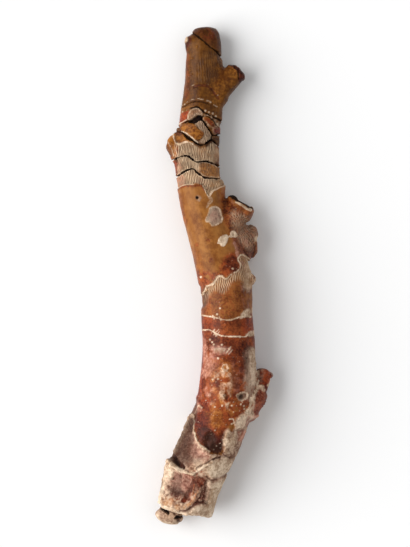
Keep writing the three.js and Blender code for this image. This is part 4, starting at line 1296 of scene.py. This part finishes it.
class RootMarks(Region):
    """The pale crusted root end with its hollows and ridges, and the foot lobe."""

    marks = (
        On("root_end"),
        Patch(CRUST, 1.0, 0.25, ((-8.8, 22.2), (-5.3, 17.7), (-3.1, 18.2), (-3.1, 14.9), (-2.4, 11.7),
            (-0.8, 7.9), (1.0, 6.3), (3.1, 4.6), (5.2, 4.0), (7.6, 4.4), (7.8, 8.9), (8.8, 11.7),
            (11.1, 12.4), (11.7, 15.8), (13.9, 17.3), (15.0, 19.1), (16.9, 20.6), (17.2, 23.5),
            (18.7, 25.7), (19.9, 27.8), (22.0, 27.1), (21.3, 22.2), (19.2, 17.3), (34.6, 13.5),
            (34.6, -28.5), (-24.9, -28.5), (-24.9, 22.2)), press=-0.3, ragged=0.45, lip=0.15,
            side=Side.ROUND),
        Patch(RED, 0.9, 0.4, ((19.2, 25.0), (21.3, 25.7), (23.4, 22.2), (21.3, 17.3), (18.5, 16.6),
            (17.1, 19.4))),
        Stroke(CREAM, 0.85, 0.13, ((-3.2, 15.9), (-2.9, 13.1), (-2.2, 10.3), (-0.8, 7.7), (1.0, 6.4),
            (2.9, 5.0)), press=-0.25, ragged=0.3),
        crease(CREAM, 0.8, 0.16, -0.15, ((19.9, 29.2), (18.7, 25.7), (17.2, 23.3), (16.5, 20.5),
            (15.3, 18.4)), soft=0.15),
        Patch(PLUM, 0.5, 1.7, ((-5.3, 15.2), (-3.2, 13.8), (-2.2, 9.6), (-0.4, 5.8), (2.4, 3.3),
            (-0.4, 1.2), (-5.0, -0.9), (-7.8, 0.5), (-9.9, 3.7), (-8.1, 8.2)), press=1.15, ragged=0.6),
        Patch(BLUSH, 0.65, 1.2, ((-2.5, 8.2), (-0.8, 6.1), (2.7, 3.7), (0.6, 1.9), (-2.5, 2.6),
            (-4.3, 5.4)), press=-0.2),
        Patch(BLUSH, 0.35, 1.0, ((-4.3, 13.8), (-2.9, 10.3), (-1.8, 6.8), (-3.9, 4.7), (-5.7, 7.5),
            (-5.3, 11.0))),
        Patch(GOLD, 0.35, 0.7, ((-7.4, 12.4), (-5.3, 16.3), (-3.9, 16.6), (-5.0, 11.7), (-6.7, 7.5),
            (-9.9, 3.0), (-11.3, 3.7), (-9.2, 7.5)), press=-0.25),
        # Painted shade: this dark wine crease is the shadow line down the inside of the left of the hollow.
        crease(WINE, 0.6, 0.45, 0.4, ((-3.8, 15.6), (-4.8, 12.4), (-5.9, 9.3), (-7.8, 5.8), (-10.2, 3.0)),
            soft=0.9),
        crease(CREAM, 0.4, 0.2, -0.25, ((-5.0, 16.3), (-6.4, 12.8), (-7.8, 9.3), (-10.2, 5.1))),
        # Painted shade: the dark wine crease and the shade crease darken the crevice at the lower left of the
        # hollow, where shade falls.
        crease(WINE, 1.0, 0.75, 1.1, ((-10.9, 3.5), (-9.9, 2.3), (-8.5, 0.9), (-6.7, -0.7)), soft=0.8,
            taper=0.5),
        crease(SHADE, 0.75, 0.35, 0.3, ((-10.8, 3.2), (-9.5, 1.6), (-8.0, 0.2)), soft=0.5, taper=0.5),
        crease(CREAM, 0.95, 0.3, -0.6, ((-13.0, 1.6), (-10.9, 1.1), (-8.8, -0.5), (-6.7, -1.8),
            (-4.6, -2.4), (-2.9, -2.6)), soft=0.5),
        crease(CREAM, 0.85, 0.2, -0.35, ((-2.9, -2.6), (-0.8, -1.2), (1.3, 0.2), (3.8, 1.6))),
        Patch(CREAM, 0.8, 0.5, ((-13.4, 1.6), (-10.9, 1.6), (-9.5, -0.9), (-9.9, -4.4), (-12.7, -5.8)),
            press=-0.3, mottle=-0.3),
        crease(WINE, 0.75, 0.12, 0.3, ((-10.6, -0.9), (-9.9, -2.6), (-10.1, -4.7)), soft=0.35, dashes=0.8),
        Patch(GOLD, 0.38, 1.0, ((-5.3, 2.3), (-2.9, 3.7), (0.6, 3.0), (0.6, 0.5), (-2.2, -1.6),
            (-4.6, -1.2))),
        Patch(CREAM, 0.4, 0.8, ((-3.2, 2.3), (-0.4, 2.6), (0.6, 1.2), (-1.8, -0.9))),
        crease(WINE, 0.7, 0.22, 0.4, ((-1.3, -1.0), (0.3, 0.4), (1.8, 1.0), (4.0, 2.3), (6.2, 3.0)),
            soft=0.35),
        crease(WINE, 0.5, 0.14, 0.3, ((7.6, 4.2), (9.4, 2.8), (11.5, 2.5)), soft=0.3),
        Patch(CREAM, 0.8, 0.8, ((2.0, -0.2), (4.1, 1.6), (8.7, 2.3), (10.4, 0.9), (9.0, -2.6), (5.5, -4.4),
            (2.4, -3.0)), press=-0.2),
        Patch(ASH, 0.4, 0.8, ((5.2, 0.9), (8.0, 1.6), (8.7, 0.2), (6.2, -1.2))),
        Patch(GOLD, 0.3, 0.9, ((1.0, -0.2), (3.4, 0.2), (4.1, -2.6), (2.4, -4.4), (1.0, -2.6))),
        crease(WINE, 0.6, 0.22, 0.35, ((2.0, -3.7), (3.8, -5.1), (6.2, -4.0), (8.7, -3.3), (10.4, -1.2))),
        Patch(RED, 0.7, 0.5, ((-2.9, -1.6), (0.6, -0.9), (2.0, -2.3), (0.6, -4.4), (-2.9, -3.7)),
            mottle=0.05),
        Patch(PLUM, 0.55, 2.0, ((-10.6, -3.0), (-7.4, -1.9), (-4.3, -3.3), (-3.2, -5.8), (-4.6, -10.0),
            (-7.1, -11.4), (-10.2, -10.3), (-11.3, -6.8)), press=0.95, ragged=0.6),
        Patch(BLUSH, 0.5, 0.7, ((-10.2, -3.0), (-7.1, -2.6), (-5.7, -5.1), (-7.8, -8.6), (-10.6, -7.9))),
        Patch(RED, 0.35, 1.5, ((-11.6, -7.2), (-7.4, -6.5), (-3.9, -9.3), (-6.0, -12.8), (-10.9, -12.1)),
            mottle=-0.2),
        Patch(AMBER, 0.16, 1.6, ((-6.0, 11.7), (-3.2, 9.6), (-1.8, 6.1), (-4.6, 3.3), (-8.1, 4.7))),
        Patch(WINE, 0.6, 1.4, ((-12.3, -8.2), (-8.8, -7.9), (-5.3, -9.3), (-3.9, -11.7), (-6.7, -11.7),
            (-10.2, -10.7), (-13.4, -12.1)), press=0.2, ragged=0.8, mottle=-0.3),
        Patch(BLUSH, 0.7, 0.8, ((-6.4, -2.6), (-2.9, -3.3), (-2.9, -5.8), (-5.0, -9.3), (-6.7, -7.9)),
            press=-0.35),
        Patch(RED, 0.55, 1.2, ((-4.6, -4.4), (1.7, -3.7), (3.1, -7.9), (2.4, -12.8), (-1.5, -13.8),
            (-5.7, -12.8), (-6.0, -8.6)), press=0.3, mottle=-0.35),
        Patch(RED, 0.85, 0.9, ((-2.2, -4.0), (1.0, -4.0), (1.0, -7.2), (-1.5, -7.5)), press=0.25),
        Stroke(RED, 1.0, 0.4, ((-2.5, -5.1), (-3.6, -7.9), (-4.3, -9.6), (-6.0, -12.1)), press=0.35,
            soft=0.7, ragged=0.6),
        crease(GOLD, 0.75, 0.16, -0.2, ((-2.0, -4.7), (-2.5, -7.9), (-2.9, -10.3)), soft=0.3),
        Stroke(AMBER, 0.35, 0.2, ((-1.1, -8.2), (-1.7, -10.3), (-3.2, -12.4), (-5.0, -13.8)), press=-0.35,
            soft=0.6, ragged=0.6),
        crease(WINE, 0.55, 0.25, 0.3, ((0.3, -7.2), (0.1, -10.0), (-1.5, -12.4))),
        crease(WINE, 0.65, 0.3, 0.3, ((1.7, -5.1), (1.5, -8.6), (0.8, -11.7)), soft=0.5),
        Stroke(CREAM, 0.3, 0.2, ((2.9, -5.8), (2.2, -9.3), (1.7, -12.4)), press=-0.25, soft=0.5,
            ragged=0.5),
        Patch(RED, 0.5, 0.9, ((4.1, -4.0), (8.0, -3.3), (8.0, -6.8), (4.5, -6.8))),
        Patch(GOLD, 0.55, 0.7, ((-14.4, -10.7), (-10.2, -11.0), (-6.7, -12.4), (-5.3, -14.5), (-7.4, -15.2),
            (-13.0, -14.2)), press=-0.35, mottle=-0.25),
        crease(CREAM, 0.75, 0.4, -0.3, ((-13.0, -5.1), (-13.7, -8.6), (-14.8, -12.1), (-15.1, -13.8)),
            soft=0.5),
        Stroke(CREAM, 0.9, 0.4, ((-15.5, -13.8), (-13.0, -14.3), (-10.2, -15.0), (-7.4, -16.1),
            (-5.0, -17.0)), press=-0.35, soft=0.35, ragged=0.3),
        crease(WINE, 0.9, 0.4, 0.5, ((-7.1, -15.6), (-4.6, -15.6), (-2.5, -13.6), (-0.4, -12.9),
            (2.0, -12.8)), soft=0.45),
        Patch(CREAM, 0.65, 0.8, ((-5.0, -16.6), (-3.2, -14.9), (-0.4, -14.0), (3.8, -13.8), (4.5, -17.0),
            (2.4, -18.7), (-1.8, -18.4)), press=-0.2),
        # Partly painted light: the pale tan of the root's right side is made paler than its own colour, to
        # stand in for light on that side, which faces away from the main lamp.
        Patch(CREAM, 1.0, 1.0, ((3.4, -7.2), (9.4, -4.4), (9.4, -10.0), (4.5, -19.1), (1.7, -17.0)),
            press=-0.2),
        Patch(BLUSH, 0.12, 0.9, ((3.1, -6.5), (9.0, -5.1), (7.3, -12.8), (3.8, -17.7), (2.4, -12.8))),
        Stroke(SHADE, 1.0, 0.55, ((-14.8, -14.5), (-13.4, -15.6), (-11.6, -17.1)), press=0.9, soft=0.25,
            ragged=0.25),
        Stroke(SHADE, 0.95, 0.35, ((-9.2, -18.7), (-6.0, -18.5), (-2.5, -18.0)), press=0.5, soft=0.25,
            ragged=0.3),
        crease(PLUM, 0.7, 0.4, 0.3, ((-2.5, -17.5), (-0.4, -18.0), (1.7, -18.7))),
        crease(WINE, 0.6, 0.25, 0.3, ((-11.6, -15.6), (-9.5, -16.8), (-6.4, -17.7))),
        Patch(PLUM, 0.95, 0.6, ((15.3, 15.9), (17.8, 16.6), (18.5, 13.5), (15.7, 12.8)), press=0.2),
        Patch(RED, 0.75, 0.7, ((11.5, 11.7), (15.0, 12.4), (15.7, 9.6), (12.9, 6.8)), press=0.2,
            mottle=-0.25),
        Stroke(BLUSH, 0.9, 0.4, ((15.0, 11.4), (13.6, 8.9)), press=-0.2, soft=0.4),
        Patch(CREAM, 0.75, 0.7, ((8.0, 11.7), (11.1, 12.8), (12.5, 10.3), (11.1, 6.1), (8.7, 4.0),
            (7.6, 7.5)), press=-0.15, mottle=-0.1),
        Patch(PLUM, 0.5, 0.8, ((9.4, 7.5), (12.9, 8.9), (12.2, 4.0), (9.4, 1.9), (7.3, 3.3)), mottle=0.1),
        Patch(CREAM, 0.7, 0.6, ((12.2, 16.6), (15.7, 18.7), (17.1, 16.6), (15.0, 13.8), (12.2, 13.1)),
            press=-0.15, mottle=-0.05),
        Stroke(BLUSH, 0.8, 0.3, ((15.0, 17.7), (16.7, 17.0), (18.8, 17.7)), press=-0.2, soft=0.3),
        On("foot_lobe"),
        Patch(ASH, 0.25, 0.4, ((-6.7, 5.3), (-2.5, 3.2), (0.3, 2.5), (2.7, 0.0), (5.9, 0.0), (5.9, -5.2),
            (-6.7, -5.2))),
        Patch(GOLD, 0.3, 0.8, ((-2.5, 1.1), (0.3, 1.4), (1.7, -0.7), (-0.4, -1.7), (-2.5, -0.7))),
        Stroke(CREAM, 0.8, 0.5, ((-3.9, -0.3), (-2.5, -2.1), (0.3, -2.9), (2.7, -2.8)), press=-0.15,
            soft=0.6),
        Stroke(WINE, 0.7, 0.25, ((1.7, 0.7), (2.7, -1.0), (3.2, -2.8)), press=0.3, soft=0.5, ragged=0.3),
    )


Colour = tuple[float, float, float]


@dataclass(frozen=True)
class Layer:
    """One finish of the skin, as a coat with a deep and a pale shade."""

    finish: Finish
    deep: Colour
    pale: Colour
    rough: float
    fray: float = 0.5
    streaky: bool = False


@dataclass(frozen=True)
class BareSkin:
    """The smooth honey-coloured skin under all the other finishes."""

    deep: Colour = (0.185, 0.055, 0.010)
    pale: Colour = (0.36, 0.148, 0.034)
    rough: float = 0.36


@dataclass(frozen=True)
class Cloud:
    """A noise pattern of the skin: its scale and detail, and the limits that are spread to 0 and 1."""

    scale: float
    detail: float
    low: float = 0.0
    high: float = 1.0


LAYERS = (
    Layer(TIP, (0.050, 0.014, 0.002), (0.150, 0.053, 0.006), 0.34, 0.3, True),
    Layer(RIBBED, (0.045, 0.016, 0.006), (0.16, 0.070, 0.027), 0.60, 0.3),
    Layer(CRUST, (0.19, 0.095, 0.058), (0.70, 0.50, 0.35), 0.66, 0.6),
    Layer(GOLD, (0.100, 0.024, 0.003), (0.36, 0.132, 0.020), 0.38, 0.9),
    Layer(RED, (0.085, 0.008, 0.003), (0.32, 0.056, 0.014), 0.36, 0.9),
    Layer(AMBER, (0.24, 0.060, 0.010), (0.60, 0.25, 0.060), 0.38, 0.9),
    Layer(BLUSH, (0.33, 0.11, 0.065), (0.66, 0.34, 0.24), 0.48, 0.9),
    Layer(ASH, (0.17, 0.090, 0.058), (0.50, 0.34, 0.24), 0.62, 0.8, True),
    Layer(PLUM, (0.090, 0.023, 0.015), (0.37, 0.150, 0.108), 0.45, 0.8),
    Layer(WINE, (0.022, 0.002, 0.001), (0.10, 0.016, 0.008), 0.42, 0.9),
    Layer(CREAM, (0.42, 0.27, 0.165), (0.86, 0.68, 0.50), 0.62, 0.6),
    Layer(SHADE, (0.003, 0.001, 0.001), (0.016, 0.006, 0.003), 0.85, 0.2),
)


class Tree:
    """A thin wrapper that adds and joins shader nodes."""

    def __init__(self, tree: bpy.types.NodeTree) -> None:
        """Keeps the tree that the nodes go in."""
        self.tree = tree

    def add(self, kind: str, settings: dict[str, object] | None = None, **inputs: object) -> bpy.types.Node:
        """Adds a node.

        Args:
            kind: The node's type, without the ShaderNode that all of them start with.
            settings: The node's own options.
            inputs: Values or sockets for its inputs, by name, with _ for a space.

        Returns:
            The new node.
        """
        node = self.tree.nodes.new(kind if kind.startswith("Node") else f"ShaderNode{kind}")
        for name, value in (settings or {}).items():
            setattr(node, name, value)
        for name, value in inputs.items():
            spot = int(name[1:]) if name[0] == "i" and name[1:].isdigit() else name.replace("_", " ")
            self.feed(node.inputs[spot], value)
        return node

    def feed(self, socket: bpy.types.NodeSocket, value: object) -> None:
        """Links a socket to an input, or sets its value.

        Args:
            socket: The input.
            value: The socket or the value that it gets.
        """
        if isinstance(value, bpy.types.NodeSocket):
            self.tree.links.new(value, socket)
        elif isinstance(value, tuple) and socket.type == "RGBA":
            socket.default_value = (*value, 1.0)
        else:
            socket.default_value = value

    def math(self, operation: str, *values: object, clamp: bool = False) -> bpy.types.NodeSocket:
        """Returns the result of a Math node."""
        inputs = {f"i{k}": value for k, value in enumerate(values)}
        return self.add("Math", {"operation": operation, "use_clamp": clamp}, **inputs).outputs[0]

    def mixed(self, share: object, under: object, over: object) -> bpy.types.NodeSocket:
        """Returns a mix of two colours."""
        node = self.add("Mix", {"data_type": "RGBA"}, i0=share, i6=under, i7=over)
        return node.outputs[2]

    def noise(self, place: bpy.types.NodeSocket, scale: float, detail: float) -> bpy.types.NodeSocket:
        """Returns a noise from 0 to 1."""
        node = self.add("TexNoise", None, Vector=place, Scale=scale, Detail=detail, Roughness=0.6)
        return node.outputs["Fac"]

    def ramp(self, value: bpy.types.NodeSocket, low: float, high: float) -> bpy.types.NodeSocket:
        """Spreads part of a value's range over 0 to 1.

        Args:
            value: The value.
            low: The value that gives 0.
            high: The value that gives 1.

        Returns:
            The result.
        """
        node = self.add(
            "MapRange", {"interpolation_type": "SMOOTHSTEP"}, Value=value, i1=low, i2=high, i3=0.0, i4=1.0
        )
        return node.outputs[0]


def coat_group() -> bpy.types.NodeTree:
    """Makes the group that lays one finish over the colour and roughness below it.

    Returns:
        The group.
    """
    group = bpy.data.node_groups.new("lay_finish", "ShaderNodeTree")
    face = group.interface
    for name in ("Under", "Deep", "Pale"):
        face.new_socket(name=name, in_out="INPUT", socket_type="NodeSocketColor")
    for name in ("Under Roughness", "Roughness", "Amount", "Variation", "Grain", "Fray"):
        face.new_socket(name=name, in_out="INPUT", socket_type="NodeSocketFloat")
    face.new_socket(name="Colour", in_out="OUTPUT", socket_type="NodeSocketColor")
    face.new_socket(name="Roughness", in_out="OUTPUT", socket_type="NodeSocketFloat")
    tree = Tree(group)
    given = tree.add("NodeGroupInput").outputs
    amount = given["Amount"]
    edge = tree.math("MULTIPLY", tree.math("MULTIPLY", amount, tree.math("SUBTRACT", 1.0, amount)), 4.0)
    sway = tree.math("MULTIPLY", tree.math("SUBTRACT", given["Grain"], 0.5), given["Fray"])
    share = tree.math("MULTIPLY_ADD", sway, tree.math("MULTIPLY", edge, 2.0), amount, clamp=True)
    coat = tree.mixed(given["Variation"], given["Deep"], given["Pale"])
    colour = tree.mixed(share, given["Under"], coat)
    under, over = given["Under Roughness"], given["Roughness"]
    rough = tree.add("Mix", {"data_type": "FLOAT"}, i0=share, i2=under, i3=over)
    tree.add("NodeGroupOutput", None, Colour=colour, Roughness=rough.outputs[0])
    return group


class SkinMaterial:
    """The finish of the whole skin: every coat over the bare honey colour, with its grain and gloss."""

    BARE = BareSkin()
    STRETCH = (1.0, 0.14, 1.0)
    BROAD = Cloud(110.0, 2.0, 0.3, 0.7)
    PATCHY = Cloud(420.0, 5.0, 0.36, 0.64)
    CRISP = Cloud(1250.0, 5.0, 0.40, 0.60)
    STREAK = Cloud(1300.0, 4.0, 0.36, 0.64)
    FINE = Cloud(1500.0, 3.0)
    SPECKLE = Cloud(1150.0, 2.0, 0.66, 0.75)
    BROAD_SHARE = 0.36
    PATCHY_SHARE = 0.38
    CRISP_SHARE = 0.26
    CLOUDY = (0.1, 0.9)
    STREAK_SHARE = 0.35
    BARE_STREAK = 0.15
    BARE_BLOTCHY = 1.15

    RIB_PALE: Colour = (0.86, 0.63, 0.41)
    RIB_SHARE = 0.82
    SPECK: Colour = (0.70, 0.50, 0.36)
    SPECK_SHARE = 0.45
    # Painted shade: this dark colour is mixed into the carved hollows to stand in for the shade that falls in
    # them.
    PAINTED_HOLLOW_SHADE: Colour = (0.045, 0.018, 0.010)
    PAINTED_HOLLOW_SHADE_SHARE = 0.72
    PAINTED_HOLLOW_SHADE_RELIEF = (0.5, 0.08)

    GLOSS_BELOW = 0.60
    GLOSS_SHARE = 0.18
    GLOSS_ROUGH = 0.25
    SPECULAR = 0.08
    BUMP_STRENGTH = 0.5
    BUMP_DEPTH = 0.12 * MM

    def __init__(self) -> None:
        """Makes the material."""
        self.material = bpy.data.materials.new("coral_skin")
        self.material.use_nodes = True
        self.tree = Tree(self.material.node_tree)
        self.tree.tree.nodes.clear()
        self.place = self.tree.add("TexCoord").outputs["Object"]
        self.build()

    def amount(self, name: str) -> bpy.types.NodeSocket:
        """Returns the amount of a finish stored on the mesh."""
        return self.tree.add("Attribute", {"attribute_name": name}).outputs["Fac"]

    def cloud(self, cloud: Cloud, place: bpy.types.NodeSocket) -> bpy.types.NodeSocket:
        """Returns a noise pattern spread over 0 to 1."""
        return self.tree.ramp(self.tree.noise(place, cloud.scale, cloud.detail), cloud.low, cloud.high)

    def build(self) -> None:
        """Joins the coats, the grain and the surface."""
        tree = self.tree
        straight = tree.add("Attribute", {"attribute_name": "straight"}).outputs["Vector"]
        drawn = tree.add("Mapping", None, Vector=straight, Scale=self.STRETCH).outputs[0]
        streak = self.cloud(self.STREAK, drawn)
        fine = tree.noise(self.place, self.FINE.scale, self.FINE.detail)
        broad = tree.math("MULTIPLY", self.cloud(self.BROAD, self.place), self.BROAD_SHARE)
        blotchy = tree.math("MULTIPLY_ADD", self.cloud(self.PATCHY, self.place), self.PATCHY_SHARE, broad)
        crisp = self.cloud(self.CRISP, self.place)
        cloudy = tree.ramp(tree.math("MULTIPLY_ADD", crisp, self.CRISP_SHARE, blotchy), *self.CLOUDY)
        plain = tree.math("MULTIPLY", cloudy, 1.0 - self.STREAK_SHARE)
        drawn_out = tree.math("MULTIPLY_ADD", streak, self.STREAK_SHARE, plain)
        bare = tree.math("MULTIPLY", blotchy, self.BARE_BLOTCHY)
        bare = tree.math("MULTIPLY_ADD", streak, self.BARE_STREAK, bare)

        colour = tree.mixed(bare, self.BARE.deep, self.BARE.pale)
        rough: object = self.BARE.rough
        group = coat_group()
        for layer in LAYERS:
            node = tree.add(
                "Group",
                {"node_tree": group},
                Under=colour,
                Under_Roughness=rough,
                Deep=layer.deep,
                Pale=layer.pale,
                Roughness=layer.rough,
                Amount=self.amount(layer.finish.value),
                Variation=drawn_out if layer.streaky else cloudy,
                Grain=fine,
                Fray=layer.fray,
            )
            colour, rough = node.outputs["Colour"], node.outputs["Roughness"]
            if layer.finish is CREAM:
                colour = self.relieved(colour)
        self.surface(colour, rough, fine, streak)

    def relieved(self, colour: bpy.types.NodeSocket) -> bpy.types.NodeSocket:
        """Lays pale ribs, pale specks on the red layer and painted shade in the carved hollows over the
        coats.

        Args:
            colour: The colour of the coats.

        Returns:
            The new colour.
        """
        tree = self.tree
        ribs = tree.math("MULTIPLY", self.amount("rib"), self.RIB_SHARE)
        colour = tree.mixed(ribs, colour, self.RIB_PALE)
        specks = tree.math("MULTIPLY", self.cloud(self.SPECKLE, self.place), self.amount(RED.value))
        colour = tree.mixed(tree.math("MULTIPLY", specks, self.SPECK_SHARE), colour, self.SPECK)
        # Painted shade: the deeper the skin is carved in, the more of the dark colour.
        hollows = tree.ramp(self.amount("relief"), *self.PAINTED_HOLLOW_SHADE_RELIEF)
        return tree.mixed(tree.math("MULTIPLY", hollows, self.PAINTED_HOLLOW_SHADE_SHARE), colour, self.PAINTED_HOLLOW_SHADE)

    def surface(
        self,
        colour: bpy.types.NodeSocket,
        rough: bpy.types.NodeSocket,
        fine: bpy.types.NodeSocket,
        streak: bpy.types.NodeSocket,
    ) -> None:
        """Makes the surface itself, waxy where it is smooth, with a fine grain.

        Args:
            colour: The colour of the coats.
            rough: Their roughness.
            fine: The fine noise.
            streak: The noise drawn out along the stem.
        """
        tree = self.tree
        smooth = tree.math("SUBTRACT", self.GLOSS_BELOW, rough)
        gloss = tree.math("MULTIPLY", smooth, self.GLOSS_SHARE, clamp=True)
        height = tree.math("MULTIPLY_ADD", fine, 0.5, tree.math("MULTIPLY", streak, 0.5))
        bump = tree.add("Bump", None, Strength=self.BUMP_STRENGTH, Distance=self.BUMP_DEPTH, Height=height)
        looks = {"Base_Color": colour, "Roughness": rough, "Coat_Weight": gloss, "Normal": bump.outputs[0]}
        surface = tree.add("BsdfPrincipled", None, **looks)
        surface.inputs["Coat Roughness"].default_value = self.GLOSS_ROUGH
        surface.inputs["Specular IOR Level"].default_value = self.SPECULAR
        output = tree.add("OutputMaterial")
        tree.feed(output.inputs["Surface"], surface.outputs[0])


@dataclass(frozen=True)
class Lamp:
    """A far-off soft light: where it comes from, its strength and how broad it looks, in radians."""

    name: str
    comes_from: Vector
    strength: float
    angle: float


class Studio:
    """The white table, the soft light from the left and the camera straight above."""

    FLOOR_HALF = 1.5
    FLOOR_DROP = 0.02 * MM
    FLOOR_WHITE = (0.9, 0.9, 0.9)
    VIEW = Vector((-2.98 * MM, 0.53 * MM, 9.0 * MM))
    LENS = 150.0
    SENSOR = 36.0
    FARTHEST = 10.0
    VIEW_SIDE = 191.45 * MM
    LAMPS = (
        Lamp("broad_soft_light", Vector((-0.73, -0.02, 0.51)), 3.7, math.radians(62.0)),
        Lamp("weak_fill_light", Vector((0.50, 0.10, 0.86)), 0.42, math.radians(70.0)),
    )
    SKY_STRENGTH = 0.345

    def build(self) -> None:
        """Sets the table, the lights and the camera."""
        self.floor()
        self.light()
        self.camera()
        bpy.context.scene.view_settings.view_transform = "Standard"

    def floor(self) -> None:
        """Lays the matte white table."""
        shape = bmesh.new()
        bmesh.ops.create_grid(shape, x_segments=1, y_segments=1, size=self.FLOOR_HALF)
        bmesh.ops.translate(shape, verts=shape.verts, vec=(0.0, 0.0, -self.FLOOR_DROP))
        mesh = bpy.data.meshes.new("table_top")
        shape.to_mesh(mesh)
        shape.free()
        floor = bpy.data.objects.new("table_top", mesh)
        bpy.context.scene.collection.objects.link(floor)
        matte = bpy.data.materials.new("white_table")
        matte.use_nodes = True
        surface = matte.node_tree.nodes["Principled BSDF"]
        surface.inputs["Base Color"].default_value = (*self.FLOOR_WHITE, 1.0)
        surface.inputs["Roughness"].default_value = 1.0
        surface.inputs["Specular IOR Level"].default_value = 0.0
        mesh.materials.append(matte)

    def light(self) -> None:
        """Hangs a broad soft light to the left and a weak one to the right, in a white room."""
        for lamp in self.LAMPS:
            sun = bpy.data.lights.new(lamp.name, "SUN")
            sun.energy = lamp.strength
            sun.angle = lamp.angle
            hung = bpy.data.objects.new(lamp.name, sun)
            hung.rotation_euler = lamp.comes_from.to_track_quat("Z", "Y").to_euler()
            bpy.context.scene.collection.objects.link(hung)
        world = bpy.data.worlds.new("white_room")
        world.use_nodes = True
        world.node_tree.nodes["Background"].inputs["Color"].default_value = (1.0, 1.0, 1.0, 1.0)
        world.node_tree.nodes["Background"].inputs["Strength"].default_value = self.SKY_STRENGTH
        bpy.context.scene.world = world

    def camera(self) -> None:
        """Hangs the camera straight above, with the branch upright in its view."""
        data = bpy.data.cameras.new("overhead")
        data.sensor_width = self.SENSOR
        data.lens = self.LENS
        data.clip_end = self.FARTHEST
        camera = bpy.data.objects.new("overhead", data)
        rise = self.VIEW_SIDE * self.LENS / self.SENSOR
        camera.location = self.VIEW + Vector((0.0, 0.0, rise))
        bpy.context.scene.collection.objects.link(camera)
        bpy.context.scene.camera = camera


class Coral:
    """The whole branch: carved as one, then cut into the frame's pieces."""

    GRAIN_SEED = 7
    REGIONS = (OutlineMarks, TipMarks, NeckMarks, HoneyMarks, LaceMarks, RedMarks, StubMarks, RootMarks)
    SLOTS = {
        "tip_layer": ("tip_right_lobe", "tip_left_lobe", "upper_stub", "upper_stem"),
        "cracked_layer": ("left_knob", "cracked_neck"),
        "honey_layer": ("shoulder_upper_stub", "shoulder_lower_stub", "middle_stem"),
        "red_layer": ("lower_stub", "lower_stem"),
        "root_crust": ("foot_lobe", "root_end"),
    }

    def __init__(self, nodes: dict[str, bpy.types.Object]) -> None:
        """Keeps the frame's pieces."""
        self.nodes = nodes
        self.material = SkinMaterial().material

    def build(self) -> None:
        """Makes the blank, carves it, cuts it and sets every piece on the frame."""
        regions = [region() for region in self.REGIONS]
        ribbed = [route for region in regions for route in region.ribbed()]
        blank = Blank(self.nodes).fused(ribbed)
        skin = Skin(blank, Spine(self.nodes), Grain(self.GRAIN_SEED))
        for region in regions:
            region.carve(skin)
        skin.grow()
        skin.finish_mesh()
        whole = bmesh.new()
        whole.from_mesh(blank)
        bpy.data.meshes.remove(blank)
        for name, shape in Saw(whole, self.nodes).cut_all().items():
            self.place(name, shape)

    def place(self, name: str, shape: bmesh.types.BMesh) -> None:
        """Turns one cut piece into an object that stands for its frame piece.

        Args:
            name: The frame piece's name.
            shape: The cut piece.
        """
        mesh = bpy.data.meshes.new(f"{name}_skin")
        shape.to_mesh(mesh)
        shape.free()
        piece = bpy.data.objects.new(f"{name}_skin", mesh)
        bpy.context.scene.collection.objects.link(piece)
        mesh.materials.append(self.material)
        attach(piece, BODY)
        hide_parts(name)
        log.info("%s: %d faces", piece.name, len(mesh.polygons))


def main() -> None:
    """Builds the studio and the branch."""
    logging.basicConfig(level=logging.INFO)
    Studio().build()
    Coral(frame["nodes"]).build()


if __name__ == "__main__":
    main()
